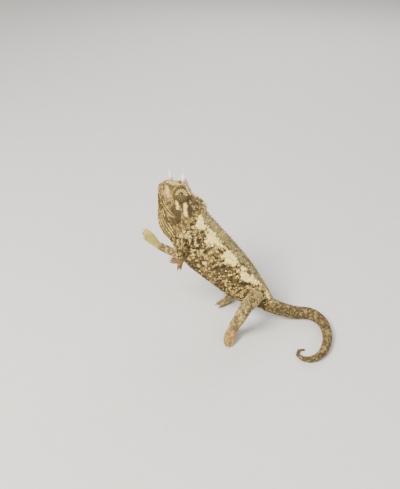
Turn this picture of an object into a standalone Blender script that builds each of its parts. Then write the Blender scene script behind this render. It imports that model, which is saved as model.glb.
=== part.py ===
import bmesh
import bpy
from math import cos, pi, radians, sin, sqrt
from mathutils import Matrix, Vector

# A young three-horned chameleon, life size, reared up on its hind feet and tail.
# Lengths are millimetres and angles degrees; the meshes are written in metres.
# The trunk has its own axes: s runs forward from the hips, t towards the crest, w to its left.

metre = 0.001
joint_gap = 0.3
floor_centre = (5.6, -4.4)

# stance
hip_centre = (12.5, 0.0, 15.5)
trunk_pitch = 42.2
trunk_yaw = 14.7
trunk_roll = 15.0
neck_pivot = (42.0, 3.0)
neck_start, neck_end = 37.0, 45.0
head_yaw = -9.0
head_roll = 5.5

# trunk, neck and head: station, crest line, belly line, widest level, half width, and how
# square the section is above and below that level (2 is an ellipse, more is squarer)
body_stations = (
    (-9.0, 4.6, -3.6, 0.5, 2.8, 2.0, 2.0),
    (-4.0, 6.2, -5.8, 0.2, 3.5, 1.9, 2.0),
    (2.0, 7.8, -8.4, -0.4, 4.2, 1.8, 2.0),
    (8.0, 9.4, -9.8, -0.8, 4.9, 1.75, 2.0),
    (16.0, 10.8, -10.6, -1.0, 5.4, 1.7, 2.0),
    (24.0, 11.6, -11.5, -1.2, 5.6, 1.7, 2.0),
    (31.0, 12.1, -11.8, -1.2, 5.4, 1.7, 2.0),
    (36.0, 12.5, -11.0, -0.6, 5.0, 1.75, 1.95),
    (40.0, 12.7, -9.6, 0.6, 4.6, 1.8, 1.85),
    (42.2, 13.5, -8.8, 1.6, 4.5, 1.8, 1.75),
    (43.6, 14.5, -8.4, 2.4, 4.6, 1.8, 1.7),
    (46.8, 14.7, -8.3, 3.4, 4.8, 1.9, 1.6),
    (49.6, 13.8, -7.9, 4.0, 4.7, 2.2, 1.5),
    (51.6, 13.6, -6.9, 4.4, 4.3, 2.9, 1.5),
    (54.4, 14.7, -4.6, 4.8, 3.9, 3.3, 1.5),
    (57.0, 14.9, -2.0, 5.2, 3.5, 3.0, 1.6),
    (58.8, 13.2, 0.0, 5.6, 3.1, 2.5, 1.7),
    (60.8, 11.2, 2.1, 6.0, 2.6, 2.3, 1.9),
    (62.4, 9.6, 3.8, 6.4, 2.0, 2.2, 2.0),
    (63.3, 8.4, 5.2, 6.8, 1.2, 2.0, 2.0),
)
body_start, body_end = -9.0, 63.3
snout_tip = (63.7, 6.8)
body_sides = 24
trunk_ring_step = 3.2
head_ring_step = 1.45

# where the long body is parted: s at the axis, and the lean of each cut
trunk_cuts = (5.0, 20.0, 35.5)
head_cut, head_cut_lean = 43.1, 5.5
mouth_front, mouth_back = (63.0, 5.0), (46.5, 0.7)
jaw_front, jaw_back = (62.6, 3.6), (46.5, -2.7)

# dorsal crest
crest_start, crest_end = -6.0, 41.5
crest_pitch = 1.6
crest_heights = (1.0, 0.6)
crest_radius = 0.55
crest_root = 0.7
crest_tip = 0.08
crest_lean = 0.35
crest_sides = 6

# eye turrets
eye_centre = (53.3, 10.2, 3.3)
eye_gaze = (0.9, 1.1, 3.0)
eye_radius = 3.35
eye_flatten = 0.72
eye_segments, eye_rings = 16, 10

# horns: root, tip, radius at the root
rostral_horn = ((60.9, 10.2, 0.0), (65.1, 13.5, 0.0), 1.05)
brow_horn = ((56.4, 14.1, 2.3), (59.9, 16.2, 2.1), 0.95)
horn_sweep = 0.35
horn_tip_radius = 0.12
horn_sides, horn_rings = 10, 5

# limbs: each joint with the radius there; the fore limbs are in trunk axes
hind_leg_left = (((14.5, -1.5, 14.8), 3.6), ((12.2, -6.8, 16.6), 3.5), ((8.6, -12.0, 16.8), 3.15),
                 ((6.6, -12.7, 12.0), 3.0), ((3.6, -13.4, 6.6), 2.6), ((2.7, -14.2, 4.6), 2.4))
hind_leg_right = (((15.0, 1.5, 14.8), 3.6), ((13.4, 6.4, 16.4), 3.5), ((10.2, 11.2, 15.8), 3.0),
                  ((8.0, 12.2, 11.4), 2.7), ((5.6, 12.4, 6.6), 2.35), ((4.8, 12.2, 4.6), 2.3))
fore_leg_left = (((40.4, 0.4, 2.2), 2.8), ((39.4, -4.2, 5.0), 2.4), ((37.6, -8.6, 6.3), 2.1),
                 ((42.0, -9.7, 6.8), 2.0), ((46.2, -11.2, 6.6), 1.75), ((48.0, -11.2, 6.5), 1.7))
fore_leg_right = (((40.4, 0.2, -2.2), 2.8), ((37.6, -3.8, -5.6), 2.4), ((34.4, -7.6, -7.6), 2.0),
                  ((32.8, -11.0, -6.4), 1.85), ((31.7, -14.0, -4.6), 1.6), ((31.7, -15.0, -4.4), 1.55))
limb_sides = 12
limb_ring_step = 1.9
mitre_run = 1.6

# digits of a foot: knuckle, tip, radius at the knuckle, radius at the tip
foot_left = (
    ((0.2, -16.2, 3.0), (0.1, -18.3, 0.8), 1.35, 0.9),
    ((1.8, -16.6, 3.1), (1.5, -18.9, 0.8), 1.4, 0.95),
    ((3.5, -16.2, 3.0), (2.9, -18.3, 0.8), 1.3, 0.85),
    ((3.1, -10.8, 2.5), (2.2, -7.6, 0.8), 1.3, 0.9),
    ((4.7, -10.8, 2.5), (4.6, -7.4, 0.8), 1.25, 0.85),
)
foot_right = (
    ((2.8, 15.6, 2.7), (1.2, 18.2, 0.8), 1.3, 0.9),
    ((4.4, 16.2, 2.8), (3.5, 18.9, 0.8), 1.35, 0.95),
    ((6.0, 15.8, 2.7), (5.8, 18.4, 0.8), 1.3, 0.85),
    ((1.6, 10.7, 2.4), (-2.9, 8.8, 0.8), 1.3, 0.9),
    ((2.9, 9.5, 2.4), (-1.5, 6.6, 0.8), 1.25, 0.85),
)
hand_left = (
    ((51.8, -9.8, 6.2), (54.1, -9.7, 6.0), 1.1, 0.75),
    ((52.2, -10.4, 7.0), (54.8, -10.3, 7.0), 1.15, 0.8),
    ((51.9, -11.1, 7.6), (54.5, -11.3, 7.6), 1.1, 0.75),
    ((50.3, -12.4, 5.6), (52.7, -12.7, 5.4), 1.1, 0.75),
    ((50.0, -12.3, 6.9), (52.2, -12.9, 6.9), 1.05, 0.75),
)
hand_right = (
    ((33.5, -15.3, -4.0), (35.4, -15.8, -3.6), 1.0, 0.7),
    ((32.9, -16.3, -4.8), (34.9, -17.3, -4.6), 1.05, 0.75),
    ((32.3, -16.8, -5.6), (33.9, -18.4, -5.8), 1.0, 0.7),
    ((31.2, -16.2, -4.0), (30.2, -17.8, -3.8), 1.0, 0.7),
    ((30.4, -15.9, -5.0), (29.0, -17.4, -5.2), 0.95, 0.7),
)
palm_radius = 2.1
hand_palm_radius = 1.55
palm_narrowing = 0.97
digit_sides = 7
digit_ring_step = 1.4
claw_length, claw_radius, claw_tip_radius = 1.0, 0.45, 0.12
claw_sides = 6

# tail: centre line and half height, the root first; it comes down to the floor and curls
tail_points = (
    ((19.2, -1.7, 9.6), 3.75), ((25.0, -1.2, 6.4), 3.5), ((32.6, -0.4, 3.35), 3.25),
    ((39.6, -0.9, 3.0), 3.05), ((43.9, -5.2, 2.75), 2.85), ((45.2, -12.0, 2.55), 2.65),
    ((44.2, -18.5, 2.35), 2.45), ((41.4, -24.2, 2.05), 2.15), ((37.4, -27.6, 1.7), 1.8),
    ((33.2, -27.8, 1.35), 1.45), ((30.6, -25.2, 1.05), 1.15), ((31.4, -22.0, 0.8), 0.9),
    ((34.0, -21.6, 0.65), 0.75),
)
tail_width = 0.92
tail_sides = 12
tail_ring_step = 2.6
tail_cuts = (0.17, 0.36, 0.53, 0.68, 0.83)

# a rounded end: how far its last ring stands out and how wide it is, as shares of the radius
end_reach, end_width = 0.6, 0.75
sharp_angle = 50
merge_distance = 1e-4
# sides and thickness of the block that trims a foot or a tail
slab_size, slab_depth = 40, 12

flesh = (0.33, 0.27, 0.15, 1.0)
limb_green = (0.34, 0.32, 0.17, 1.0)
throat_tan = (0.42, 0.34, 0.2, 1.0)
horn_white = (0.8, 0.78, 0.7, 1.0)
eye_tan = (0.4, 0.33, 0.2, 1.0)


def clear_scene():
    for obj in list(bpy.data.objects):
        bpy.data.objects.remove(obj, do_unlink=True)


def material(name, colour, roughness):
    found = bpy.data.materials.get(name)
    if found:
        return found
    made = bpy.data.materials.new(name)
    made.use_nodes = True
    shader = made.node_tree.nodes["Principled BSDF"]
    shader.inputs["Base Color"].default_value = colour
    shader.inputs["Roughness"].default_value = roughness
    shader.inputs["Metallic"].default_value = 0.0
    return made


# trunk axes in the world
def trunk_axes():
    pitch, yaw, roll = radians(trunk_pitch), radians(trunk_yaw), radians(trunk_roll)
    forward = Vector((-cos(pitch) * cos(yaw), cos(pitch) * sin(yaw), sin(pitch)))
    level_left = Vector((0, 0, 1)).cross(forward).normalized()
    level_up = forward.cross(level_left)
    left = level_left * cos(roll) + level_up * sin(roll)
    up = level_up * cos(roll) - level_left * sin(roll)
    return forward, up, left


forward, upward, leftward = trunk_axes()
hips = Vector(hip_centre)
pivot = hips + forward * neck_pivot[0] + upward * neck_pivot[1]
head_turn = Matrix.Rotation(radians(head_roll), 3, forward) @ Matrix.Rotation(radians(head_yaw), 3, upward)


def smooth_step(low, high, value):
    part = min(1.0, max(0.0, (value - low) / (high - low)))
    return part * part * (3 - 2 * part)


# from trunk axes to the world
def trunk_point(s, t, w):
    return hips + forward * s + upward * t + leftward * w


# the same with the head turned at the neck, which blends the two
def body_point(s, t, w):
    straight = trunk_point(s, t, w)
    turned = pivot + head_turn @ (straight - pivot)
    return straight.lerp(turned, smooth_step(neck_start, neck_end, s))


def body_direction(s, vector):
    straight = forward * vector[0] + upward * vector[1] + leftward * vector[2]
    return straight.lerp(head_turn @ straight, smooth_step(neck_start, neck_end, s)).normalized()


# smooth curve through rows of numbers, whose first column is the place along it
def row_at(rows, place):
    place = min(max(place, rows[0][0]), rows[-1][0])
    index = max(i for i in range(len(rows) - 1) if rows[i][0] <= place)
    before, after = rows[index], rows[index + 1]
    span = after[0] - before[0]
    part = (place - before[0]) / span

    def slope(i, column):
        if i in (0, len(rows) - 1):
            return 0.0 if i == 0 else (rows[-1][column] - rows[-2][column]) / (rows[-1][0] - rows[-2][0])
        return (rows[i + 1][column] - rows[i - 1][column]) / (rows[i + 1][0] - rows[i - 1][0])

    values = []
    for column in range(1, len(before)):
        start, end = slope(index, column) * span, slope(index + 1, column) * span
        a, b = before[column], after[column]
        values.append(a + part * start + part ** 2 * (3 * (b - a) - 2 * start - end)
                      + part ** 3 * (2 * (a - b) + start + end))
    return values


def body_ring(s, swell):
    top, bottom, middle, half_width, upper, lower = row_at(body_stations, s)
    ring = []
    for i in range(body_sides):
        turn = 2 * pi * i / body_sides
        across, along = sin(turn), cos(turn)
        power, height = (upper, top - middle) if along > 0 else (lower, middle - bottom)
        rise = abs(along) ** (2 / power) * (height + swell)
        reach = abs(across) ** (2 / power) * (half_width + swell)
        side = 1 if across > 0 else -1
        level = middle + (rise if along > 0 else -rise)
        ring.append(body_point(s, level, side * reach if abs(across) > 1e-6 else 0.0))
    return ring


def new_object(name, bm, finish):
    bmesh.ops.recalc_face_normals(bm, faces=bm.faces)
    bmesh.ops.triangulate(bm, faces=[face for face in bm.faces if len(face.verts) > 4])
    bmesh.ops.translate(bm, verts=bm.verts, vec=(-floor_centre[0], -floor_centre[1], 0))
    bmesh.ops.scale(bm, verts=bm.verts, vec=(metre, metre, metre))
    mesh = bpy.data.meshes.new(name)
    bm.to_mesh(mesh)
    bm.free()
    mesh.shade_smooth()
    mesh.set_sharp_from_angle(angle=radians(sharp_angle))
    obj = bpy.data.objects.new(name, mesh)
    bpy.context.collection.objects.link(obj)
    obj.data.materials.append(finish)
    return obj


def cutter(name, bm):
    obj = new_object(name, bm, material("cutter", flesh, 0.5))
    obj.hide_render = True
    obj.display_type = "WIRE"
    return obj


def boolean(obj, tool, operation, crossing=False):
    modifier = obj.modifiers.new(operation.title() + "_" + tool.name, "BOOLEAN")
    modifier.object = tool
    modifier.operation = operation
    modifier.solver = "EXACT"
    modifier.use_self = crossing


# closed surface through rings of points, with flat ends or a point
def bridge_rings(bm, rings, start_point=None, end_point=None):
    rows = [[bm.verts.new(point) for point in ring] for ring in rings]
    count = len(rows[0])
    for lower, upper in zip(rows, rows[1:]):
        for i in range(count):
            j = (i + 1) % count
            bm.faces.new((lower[i], lower[j], upper[j], upper[i]))
    for row, point in ((rows[0], start_point), (rows[-1], end_point)):
        centre = bm.verts.new(point if point else sum((v.co for v in row), Vector()) / count)
        for i in range(count):
            bm.faces.new((row[i], row[(i + 1) % count], centre))


def cut_away(bm, point, normal):
    geometry = bm.verts[:] + bm.edges[:] + bm.faces[:]
    bmesh.ops.bisect_plane(bm, geom=geometry, dist=merge_distance, plane_co=point, plane_no=normal,
                           clear_outer=True)
    rim = [edge for edge in bm.edges if edge.is_boundary]
    if rim:
        bmesh.ops.holes_fill(bm, edges=rim, sides=0)
        bmesh.ops.triangulate(bm, faces=[face for face in bm.faces if len(face.verts) > 4])


def body_places():
    places, s = [body_start], body_start
    while s < body_end - 0.6:
        s += trunk_ring_step if s < neck_start else head_ring_step
        places.append(min(s, body_end))
    places[-1] = body_end
    return places


def body_mesh(swell=0.0):
    bm = bmesh.new()
    rings = [body_ring(s, swell) for s in body_places()]
    tip = body_point(snout_tip[0] + swell, snout_tip[1], 0)
    bridge_rings(bm, rings, end_point=tip)
    return bm


# a cut across the body: its middle, the direction it faces, and a shift along that
def cross_cut(s, lean, shift):
    facing = body_direction(s, (cos(radians(lean)), sin(radians(lean)), 0))
    return body_point(s, 0, 0) + facing * shift, facing


# a cut along the body through two places on its middle plane, facing the crest
def long_cut(front, back, shift):
    along = Vector((front[0] - back[0], front[1] - back[1], 0)).normalized()
    facing = body_direction(front[0], (-along.y, along.x, 0))
    return body_point(front[0], front[1], 0) + facing * shift, facing


def crest_cone(bm, s, height):
    top = row_at(body_stations, s)[0]
    root = body_point(s, top - crest_root, 0)
    tip = body_point(s - crest_lean * height, top + height, 0)
    axis = tip - root
    turn = Vector((0, 0, 1)).rotation_difference(axis.normalized()).to_matrix().to_4x4()
    place = Matrix.Translation((root + tip) / 2) @ turn
    bmesh.ops.create_cone(bm, cap_ends=True, cap_tris=True, segments=crest_sides, radius1=crest_radius,
                          radius2=crest_tip, depth=axis.length, matrix=place)


def crest_spines(low, high):
    bm = bmesh.new()
    count = int((crest_end - crest_start) / crest_pitch) + 1
    for i in range(count):
        s = crest_start + i * crest_pitch
        if low + crest_radius + joint_gap < s < high - crest_radius - joint_gap:
            crest_cone(bm, s, crest_heights[i % len(crest_heights)])
    return bm


def trunk_lengths(finish):
    half = joint_gap / 2
    edges = (None,) + trunk_cuts + (head_cut,)
    names = ("pelvis", "trunk_rear", "trunk_front", "neck")
    made = []
    for name, start, end in zip(names, edges, edges[1:]):
        bm = body_mesh()
        if start is not None:
            point, facing = cross_cut(start, 0, half)
            cut_away(bm, point, -facing)
        point, facing = cross_cut(end, head_cut_lean if end == head_cut else 0, -half)
        cut_away(bm, point, facing)
        obj = new_object(name, bm, finish)
        spines = crest_spines(crest_start - 1 if start is None else start, end)
        boolean(obj, cutter(name + "_spines", spines), "UNION")
        made.append(obj)
    return made


def head_parts(finish, throat_finish):
    half = joint_gap / 2
    neck_point, neck_facing = cross_cut(head_cut, head_cut_lean, half)
    mouth_up, mouth_facing = long_cut(mouth_front, mouth_back, half)
    mouth_down, _ = long_cut(mouth_front, mouth_back, -half)
    jaw_up, jaw_facing = long_cut(jaw_front, jaw_back, half)
    jaw_down, _ = long_cut(jaw_front, jaw_back, -half)
    head, jaw, throat = body_mesh(), body_mesh(), body_mesh()
    for bm in (head, jaw, throat):
        cut_away(bm, neck_point, -neck_facing)
    cut_away(head, mouth_up, -mouth_facing)
    cut_away(jaw, mouth_down, mouth_facing)
    cut_away(jaw, jaw_up, -jaw_facing)
    cut_away(throat, jaw_down, jaw_facing)
    head = new_object("head", head, finish)
    new_object("lower_jaw", jaw, finish)
    new_object("throat", throat, throat_finish)
    return head


def eye_mesh(side, swell):
    bm = bmesh.new()
    bmesh.ops.create_uvsphere(bm, u_segments=eye_segments, v_segments=eye_rings,
                              radius=eye_radius + swell)
    bmesh.ops.scale(bm, verts=bm.verts, vec=(1, 1, eye_flatten))
    gaze = body_direction(eye_centre[0], (eye_gaze[0], eye_gaze[1], side * eye_gaze[2]))
    turn = Vector((0, 0, 1)).rotation_difference(gaze).to_matrix().to_4x4()
    place = body_point(eye_centre[0], eye_centre[1], side * eye_centre[2])
    bmesh.ops.transform(bm, matrix=Matrix.Translation(place) @ turn, verts=bm.verts)
    return bm


def horn_mesh(horn, side, swell):
    root, tip, radius = horn
    rings = []
    start = body_point(root[0], root[1], side * root[2])
    end = body_point(tip[0], tip[1], side * tip[2])
    axis = (end - start).normalized()
    start = start - axis * swell
    across = axis.cross(leftward).normalized()
    beside = axis.cross(across)
    for i in range(horn_rings):
        part = i / horn_rings
        wide = radius * (1 - part) ** 0.8 + horn_tip_radius + swell
        sag = across * horn_sweep * 4 * part * (1 - part)
        centre = start.lerp(end, part) + sag
        rings.append([centre + (across * cos(a) + beside * sin(a)) * wide
                      for a in (2 * pi * k / horn_sides for k in range(horn_sides))])
    bm = bmesh.new()
    bridge_rings(bm, rings, end_point=end + axis * swell)
    return bm


def eyes_and_horns(head, eye_finish, horn_finish):
    for name, side in (("eye_left", 1), ("eye_right", -1)):
        new_object(name, eye_mesh(side, 0), eye_finish)
        boolean(head, cutter(name + "_socket", eye_mesh(side, joint_gap)), "DIFFERENCE")
    horns = (("horn_rostral", rostral_horn, 1), ("horn_left", brow_horn, 1), ("horn_right", brow_horn, -1))
    for name, horn, side in horns:
        new_object(name, horn_mesh(horn, side, 0), horn_finish)
        boolean(head, cutter(name + "_pit", horn_mesh(horn, side, joint_gap)), "DIFFERENCE")


# path through points with a radius at each, as rows of place, x, y, z, radius
def path_rows(points):
    rows, place = [], 0.0
    for i, (point, radius) in enumerate(points):
        if i:
            place += (Vector(point) - Vector(points[i - 1][0])).length
        rows.append((place, *point, radius))
    return rows


def path_rings(rows, start, end, step, sides, width):
    count = max(2, int(round((end - start) / step)) + 1)
    rings, across = [], None
    for i in range(count):
        place = start + (end - start) * i / (count - 1)
        centre = Vector(row_at(rows, place)[:3])
        ahead = Vector(row_at(rows, place + 0.1)[:3]) - Vector(row_at(rows, place - 0.1)[:3])
        ahead.normalize()
        radius = row_at(rows, place)[3]
        if across is None:
            across = ahead.cross(Vector((0, 0, 1)))
        across = (across - ahead * across.dot(ahead)).normalized()
        above = across.cross(ahead)
        rings.append([centre + across * (cos(a) * radius * width) + above * (sin(a) * radius)
                      for a in (2 * pi * k / sides for k in range(sides))])
    return rings


def tube(rows, start, end, step, sides, width=1.0, rounded=False):
    bm = bmesh.new()
    rings = path_rings(rows, start, end, step, sides, width)
    tip = None
    if rounded:
        middle = sum(rings[-1], Vector()) / sides
        before = sum(rings[-2], Vector()) / sides
        ahead = (middle - before).normalized()
        radius = (rings[-1][0] - middle).length
        rings.append([middle + ahead * radius * end_reach + (point - middle) * end_width
                      for point in rings[-1]])
        tip = middle + ahead * radius
    bridge_rings(bm, rings, end_point=tip)
    return bm


def world_limb(limb):
    return [(tuple(trunk_point(*point)), radius) for point, radius in limb]


# a foot or hand: a palm and five digits in two opposed bundles, each digit with its claw
def digit(wrist, palm, knuckle, tip, knuckle_radius, tip_radius):
    rows = path_rows(((wrist, palm), (knuckle, knuckle_radius), (tip, tip_radius)))
    return tube(rows, 0.0, rows[-1][0], digit_ring_step, digit_sides, rounded=True)


# a claw runs on from its digit; on the floor it bends down until its point touches
def claw(knuckle, tip, tip_radius, on_floor):
    start, ahead = Vector(tip), (Vector(tip) - Vector(knuckle)).normalized()
    root = start + ahead * tip_radius * 0.2
    length = claw_length + tip_radius * 0.8
    axis = ahead * length
    if on_floor:
        drop = root.z - claw_tip_radius
        level = Vector((ahead.x, ahead.y, 0)).normalized() * sqrt(length ** 2 - drop ** 2)
        axis = Vector((level.x, level.y, -drop))
    bm = bmesh.new()
    turn = Vector((0, 0, 1)).rotation_difference(axis.normalized()).to_matrix().to_4x4()
    bmesh.ops.create_cone(bm, cap_ends=True, cap_tris=True, segments=claw_sides, radius1=claw_radius,
                          radius2=claw_tip_radius, depth=axis.length,
                          matrix=Matrix.Translation(root + axis / 2) @ turn)
    return bm


def joined(pieces):
    whole = bmesh.new()
    for piece in pieces:
        mesh = bpy.data.meshes.new("piece")
        piece.to_mesh(mesh)
        piece.free()
        whole.from_mesh(mesh)
        bpy.data.meshes.remove(mesh)
    return whole


def foot(name, wrist, facing, palm, digits, finish, on_floor):
    wrist = tuple(wrist)
    middle_digit = 1
    pieces = []
    for i, (knuckle, tip, knuckle_radius, tip_radius) in enumerate(digits):
        if i != middle_digit:
            narrow = palm * (palm_narrowing + 0.01 * i)
            pieces.append(digit(wrist, narrow, knuckle, tip, knuckle_radius, tip_radius))
        pieces.append(claw(knuckle, tip, tip_radius, on_floor))
    obj = new_object(name, digit(wrist, palm, *digits[middle_digit]), finish)
    boolean(obj, cutter(name + "_digits", joined(pieces)), "UNION", crossing=True)
    boolean(obj, slab(name + "_joint_cut", Vector(wrist) + facing * (joint_gap / 2), -facing), "DIFFERENCE")
    if on_floor:
        boolean(obj, slab(name + "_floor_cut", Vector((wrist[0], wrist[1], 0)), Vector((0, 0, -1))),
                "DIFFERENCE")
    return obj


# a block on one side of a plane, wide enough to trim a foot
def slab(name, point, facing):
    bm = bmesh.new()
    turn = Vector((0, 0, 1)).rotation_difference(facing).to_matrix().to_4x4()
    bmesh.ops.create_cube(bm, size=1)
    bmesh.ops.scale(bm, verts=bm.verts, vec=(slab_size, slab_size, slab_depth))
    bmesh.ops.translate(bm, verts=bm.verts, vec=(0, 0, slab_depth / 2))
    bmesh.ops.transform(bm, matrix=Matrix.Translation(point) @ turn, verts=bm.verts)
    return cutter(name, bm)


# a straight run past the end of a path, so that a mitred joint has something to cut
def past_end(points, index, toward):
    (point, radius), (other, _) = points[index], points[index - toward]
    run = (Vector(point) - Vector(other)).normalized() * radius * mitre_run
    return (tuple(Vector(point) + run), radius)


# a limb of two lengths, mitred at the bend; it returns the end of the second and its direction
def limb(names, points, body_cutter, finish):
    half = joint_gap / 2
    bend = Vector(points[2][0])
    before = (bend - Vector(points[1][0])).normalized()
    after = (Vector(points[3][0]) - bend).normalized()
    facing = (before + after).normalized()
    upper_rows = path_rows(points[:3] + [past_end(points, 2, 1)])
    upper = tube(upper_rows, 0, upper_rows[-1][0], limb_ring_step, limb_sides)
    cut_away(upper, bend - facing * half, facing)
    boolean(new_object(names[0], upper, finish), body_cutter, "DIFFERENCE")
    lower_rows = path_rows([past_end(points, 2, -1)] + points[2:])
    end = lower_rows[3][0]
    lower = tube(lower_rows, 0, end - half, limb_ring_step, limb_sides)
    cut_away(lower, bend + facing * half, -facing)
    new_object(names[1], lower, finish)
    here = Vector(row_at(lower_rows, end)[:3])
    ahead = Vector(row_at(lower_rows, end + 0.1)[:3]) - Vector(row_at(lower_rows, end - 0.1)[:3])
    return here, ahead.normalized()


def limbs(body_cutter, finish):
    hind = (("left", hind_leg_left, foot_left), ("right", hind_leg_right, foot_right))
    for side, points, digits in hind:
        names = ("thigh_" + side, "shank_" + side)
        here, facing = limb(names, list(points), body_cutter, finish)
        foot("hind_foot_" + side, here, facing, palm_radius, digits, finish, True)
    fore = (("left", fore_leg_left, hand_left), ("right", fore_leg_right, hand_right))
    for side, points, digits in fore:
        names = ("upper_arm_" + side, "forearm_" + side)
        here, facing = limb(names, world_limb(points), body_cutter, finish)
        placed = [(tuple(trunk_point(*knuckle)), tuple(trunk_point(*tip)), a, b)
                  for knuckle, tip, a, b in digits]
        foot("fore_foot_" + side, here, facing, hand_palm_radius, placed, finish, False)


def tail(finish):
    rows = path_rows(tail_points)
    length = rows[-1][0]
    half = joint_gap / 2
    stops = (0.0,) + tail_cuts + (1.0,)
    for i, (start, end) in enumerate(zip(stops, stops[1:])):
        low = start * length + (half if i else 0.0)
        high = end * length - (half if end < 1 else 0.0)
        last = end == 1.0
        obj = new_object("tail_" + str(i + 1), tube(rows, low, high, tail_ring_step, tail_sides,
                                                    tail_width, rounded=last), finish)
        if i == 0:
            point, facing = cross_cut(body_start, 0, -joint_gap)
            boolean(obj, slab("tail_root_cut", point, facing), "DIFFERENCE")
        middle = Vector(row_at(rows, (low + high) / 2)[:3])
        below = slab("tail_floor_cut_" + str(i + 1), Vector((middle.x, middle.y, 0)), Vector((0, 0, -1)))
        boolean(obj, below, "DIFFERENCE")


def build():
    clear_scene()
    skin = material("skin_body", flesh, 0.7)
    limb_skin = material("skin_limbs", limb_green, 0.7)
    throat_skin = material("skin_throat", throat_tan, 0.65)
    horn = material("horn", horn_white, 0.35)
    eye_skin = material("eye_lid", eye_tan, 0.55)
    trunk_lengths(skin)
    head = head_parts(skin, throat_skin)
    eyes_and_horns(head, eye_skin, horn)
    body_cutter = cutter("body_swollen", body_mesh(joint_gap))
    limbs(body_cutter, limb_skin)
    tail(limb_skin)


build()
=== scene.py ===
from math import cos, pi, radians, sin

import bmesh
import bpy
import numpy as np
from mathutils import Matrix, Vector, noise
from mathutils.bvhtree import BVHTree
from mathutils.kdtree import KDTree


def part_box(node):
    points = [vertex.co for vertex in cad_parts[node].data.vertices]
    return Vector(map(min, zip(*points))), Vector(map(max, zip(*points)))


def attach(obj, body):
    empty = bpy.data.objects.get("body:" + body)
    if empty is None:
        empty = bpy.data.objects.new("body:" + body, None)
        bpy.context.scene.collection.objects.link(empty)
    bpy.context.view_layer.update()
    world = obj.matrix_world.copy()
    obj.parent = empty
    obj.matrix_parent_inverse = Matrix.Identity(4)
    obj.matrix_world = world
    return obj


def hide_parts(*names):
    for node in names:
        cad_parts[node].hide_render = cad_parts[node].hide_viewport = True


# A young three-horned chameleon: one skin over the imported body, and solid scales on the skin.
# Lengths are millimetres and go into the meshes as metres. The body has places of its own:
# s runs forward from the hips, t up towards the crest and w to the animal's left.

mm = 0.001
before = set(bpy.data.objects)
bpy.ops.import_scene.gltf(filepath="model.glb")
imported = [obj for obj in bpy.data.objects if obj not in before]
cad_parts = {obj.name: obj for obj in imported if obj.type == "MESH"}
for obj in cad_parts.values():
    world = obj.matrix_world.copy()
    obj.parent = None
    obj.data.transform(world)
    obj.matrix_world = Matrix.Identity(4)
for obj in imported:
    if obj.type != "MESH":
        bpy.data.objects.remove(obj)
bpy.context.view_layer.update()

pose = {
    "hips": (6.9, 4.4, 15.5),
    "pitch": 42.2,
    "yaw": 14.7,
    "roll": 15.0,
    "neckPivot": (42.0, 3.0),
    "neckRun": (37.0, 45.0),  # the head's own turn comes in along this stretch
    "headYaw": -9.0,
    "headRoll": 5.5,
}

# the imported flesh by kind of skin
regionNodes = {
    "head": ("head", "lower_jaw", "eye_left", "eye_right"),
    "throat": ("throat",),
    "trunk": ("neck", "trunk_front", "trunk_rear", "pelvis"),
    "limb": tuple(a + b for b in ("left", "right") for a in ("thigh_", "shank_", "upper_arm_", "forearm_")),
    "foot": tuple(a + b for b in ("left", "right") for a in ("hind_foot_", "fore_foot_")),
    "tail": tuple("tail_" + str(i) for i in range(1, 7)),
}
fleshNodes = [node for nodes in regionNodes.values() for node in nodes]
lidNodes = ["eye_left", "eye_right"]
regionNames = list(regionNodes)
regionOfNode = np.array([i for i, nodes in enumerate(regionNodes.values()) for node in nodes])


def bodyAxes():
    pitch, yaw, roll = (radians(pose[key]) for key in ("pitch", "yaw", "roll"))
    forward = Vector((-cos(pitch) * cos(yaw), cos(pitch) * sin(yaw), sin(pitch)))
    levelLeft = Vector((0, 0, 1)).cross(forward).normalized()
    levelUp = forward.cross(levelLeft)
    left = levelLeft * cos(roll) + levelUp * sin(roll)
    up = levelUp * cos(roll) - levelLeft * sin(roll)
    turn = Matrix.Rotation(radians(pose["headRoll"]), 3, forward)
    turn = turn @ Matrix.Rotation(radians(pose["headYaw"]), 3, up)
    return np.array((forward, up, left)), np.array(turn)


axes, headTurn = bodyAxes()
hips = np.array(pose["hips"])
neckPivot = hips + pose["neckPivot"][0] * axes[0] + pose["neckPivot"][1] * axes[1]


def smoothStep(low, high, value):
    part = np.clip((value - low) / (high - low), 0, 1)
    return part * part * (3 - 2 * part)


def window(value, rising, falling):  # 1 between two soft edges and 0 beyond them
    return smoothStep(*rising, value) * (1 - smoothStep(*falling, value))


def headShare(s):
    return smoothStep(*pose["neckRun"], s)[..., None]


def toWorld(places, withHead=True):
    places = np.atleast_2d(np.asarray(places, float))
    straight = hips + places @ axes
    if not withHead:
        return straight
    turned = neckPivot + (straight - neckPivot) @ headTurn.T
    return straight + (turned - straight) * headShare(places[:, 0])


def toBody(points):
    places = (points - hips) @ axes.T
    for _ in range(8):  # closes in on the place, as the head's turn comes in bit by bit
        places = places + (points - toWorld(places)) @ axes.T
    return places


def bodyDirection(vector, s=50.0):
    straight = np.asarray(vector, float) @ axes
    turned = straight + (straight @ headTurn.T - straight) * headShare(np.array(s))
    return turned / np.linalg.norm(turned)


def mirrored(path, side):  # a path of (s, t, w) on the left or on the right
    return [(s, t, w * side) for s, t, w in path]


def inRegion(node, name):
    return regionOfNode[node] == regionNames.index(name)


def byRegion(values, node):  # each node's value, from a dictionary by kind of skin
    return np.array([values[name] for name in regionNames])[regionOfNode[node]]


def unit(vectors):
    return vectors / np.maximum(np.linalg.norm(vectors, axis=-1, keepdims=True), 1e-9)


def mottle(points, size, seed):  # soft noise, about -0.7 to 0.7, with lumps of the given size
    cells = points / size + (seed * 13.7, seed * 7.9, seed * 5.3)
    return np.array([noise.noise(cell) for cell in cells.tolist()])


def fromAxis(points, origin, axis):  # distance along an axis, and distance from it
    arm = points - origin
    along = arm @ axis
    return along, np.linalg.norm(arm - along[:, None] * axis, axis=1)


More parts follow.
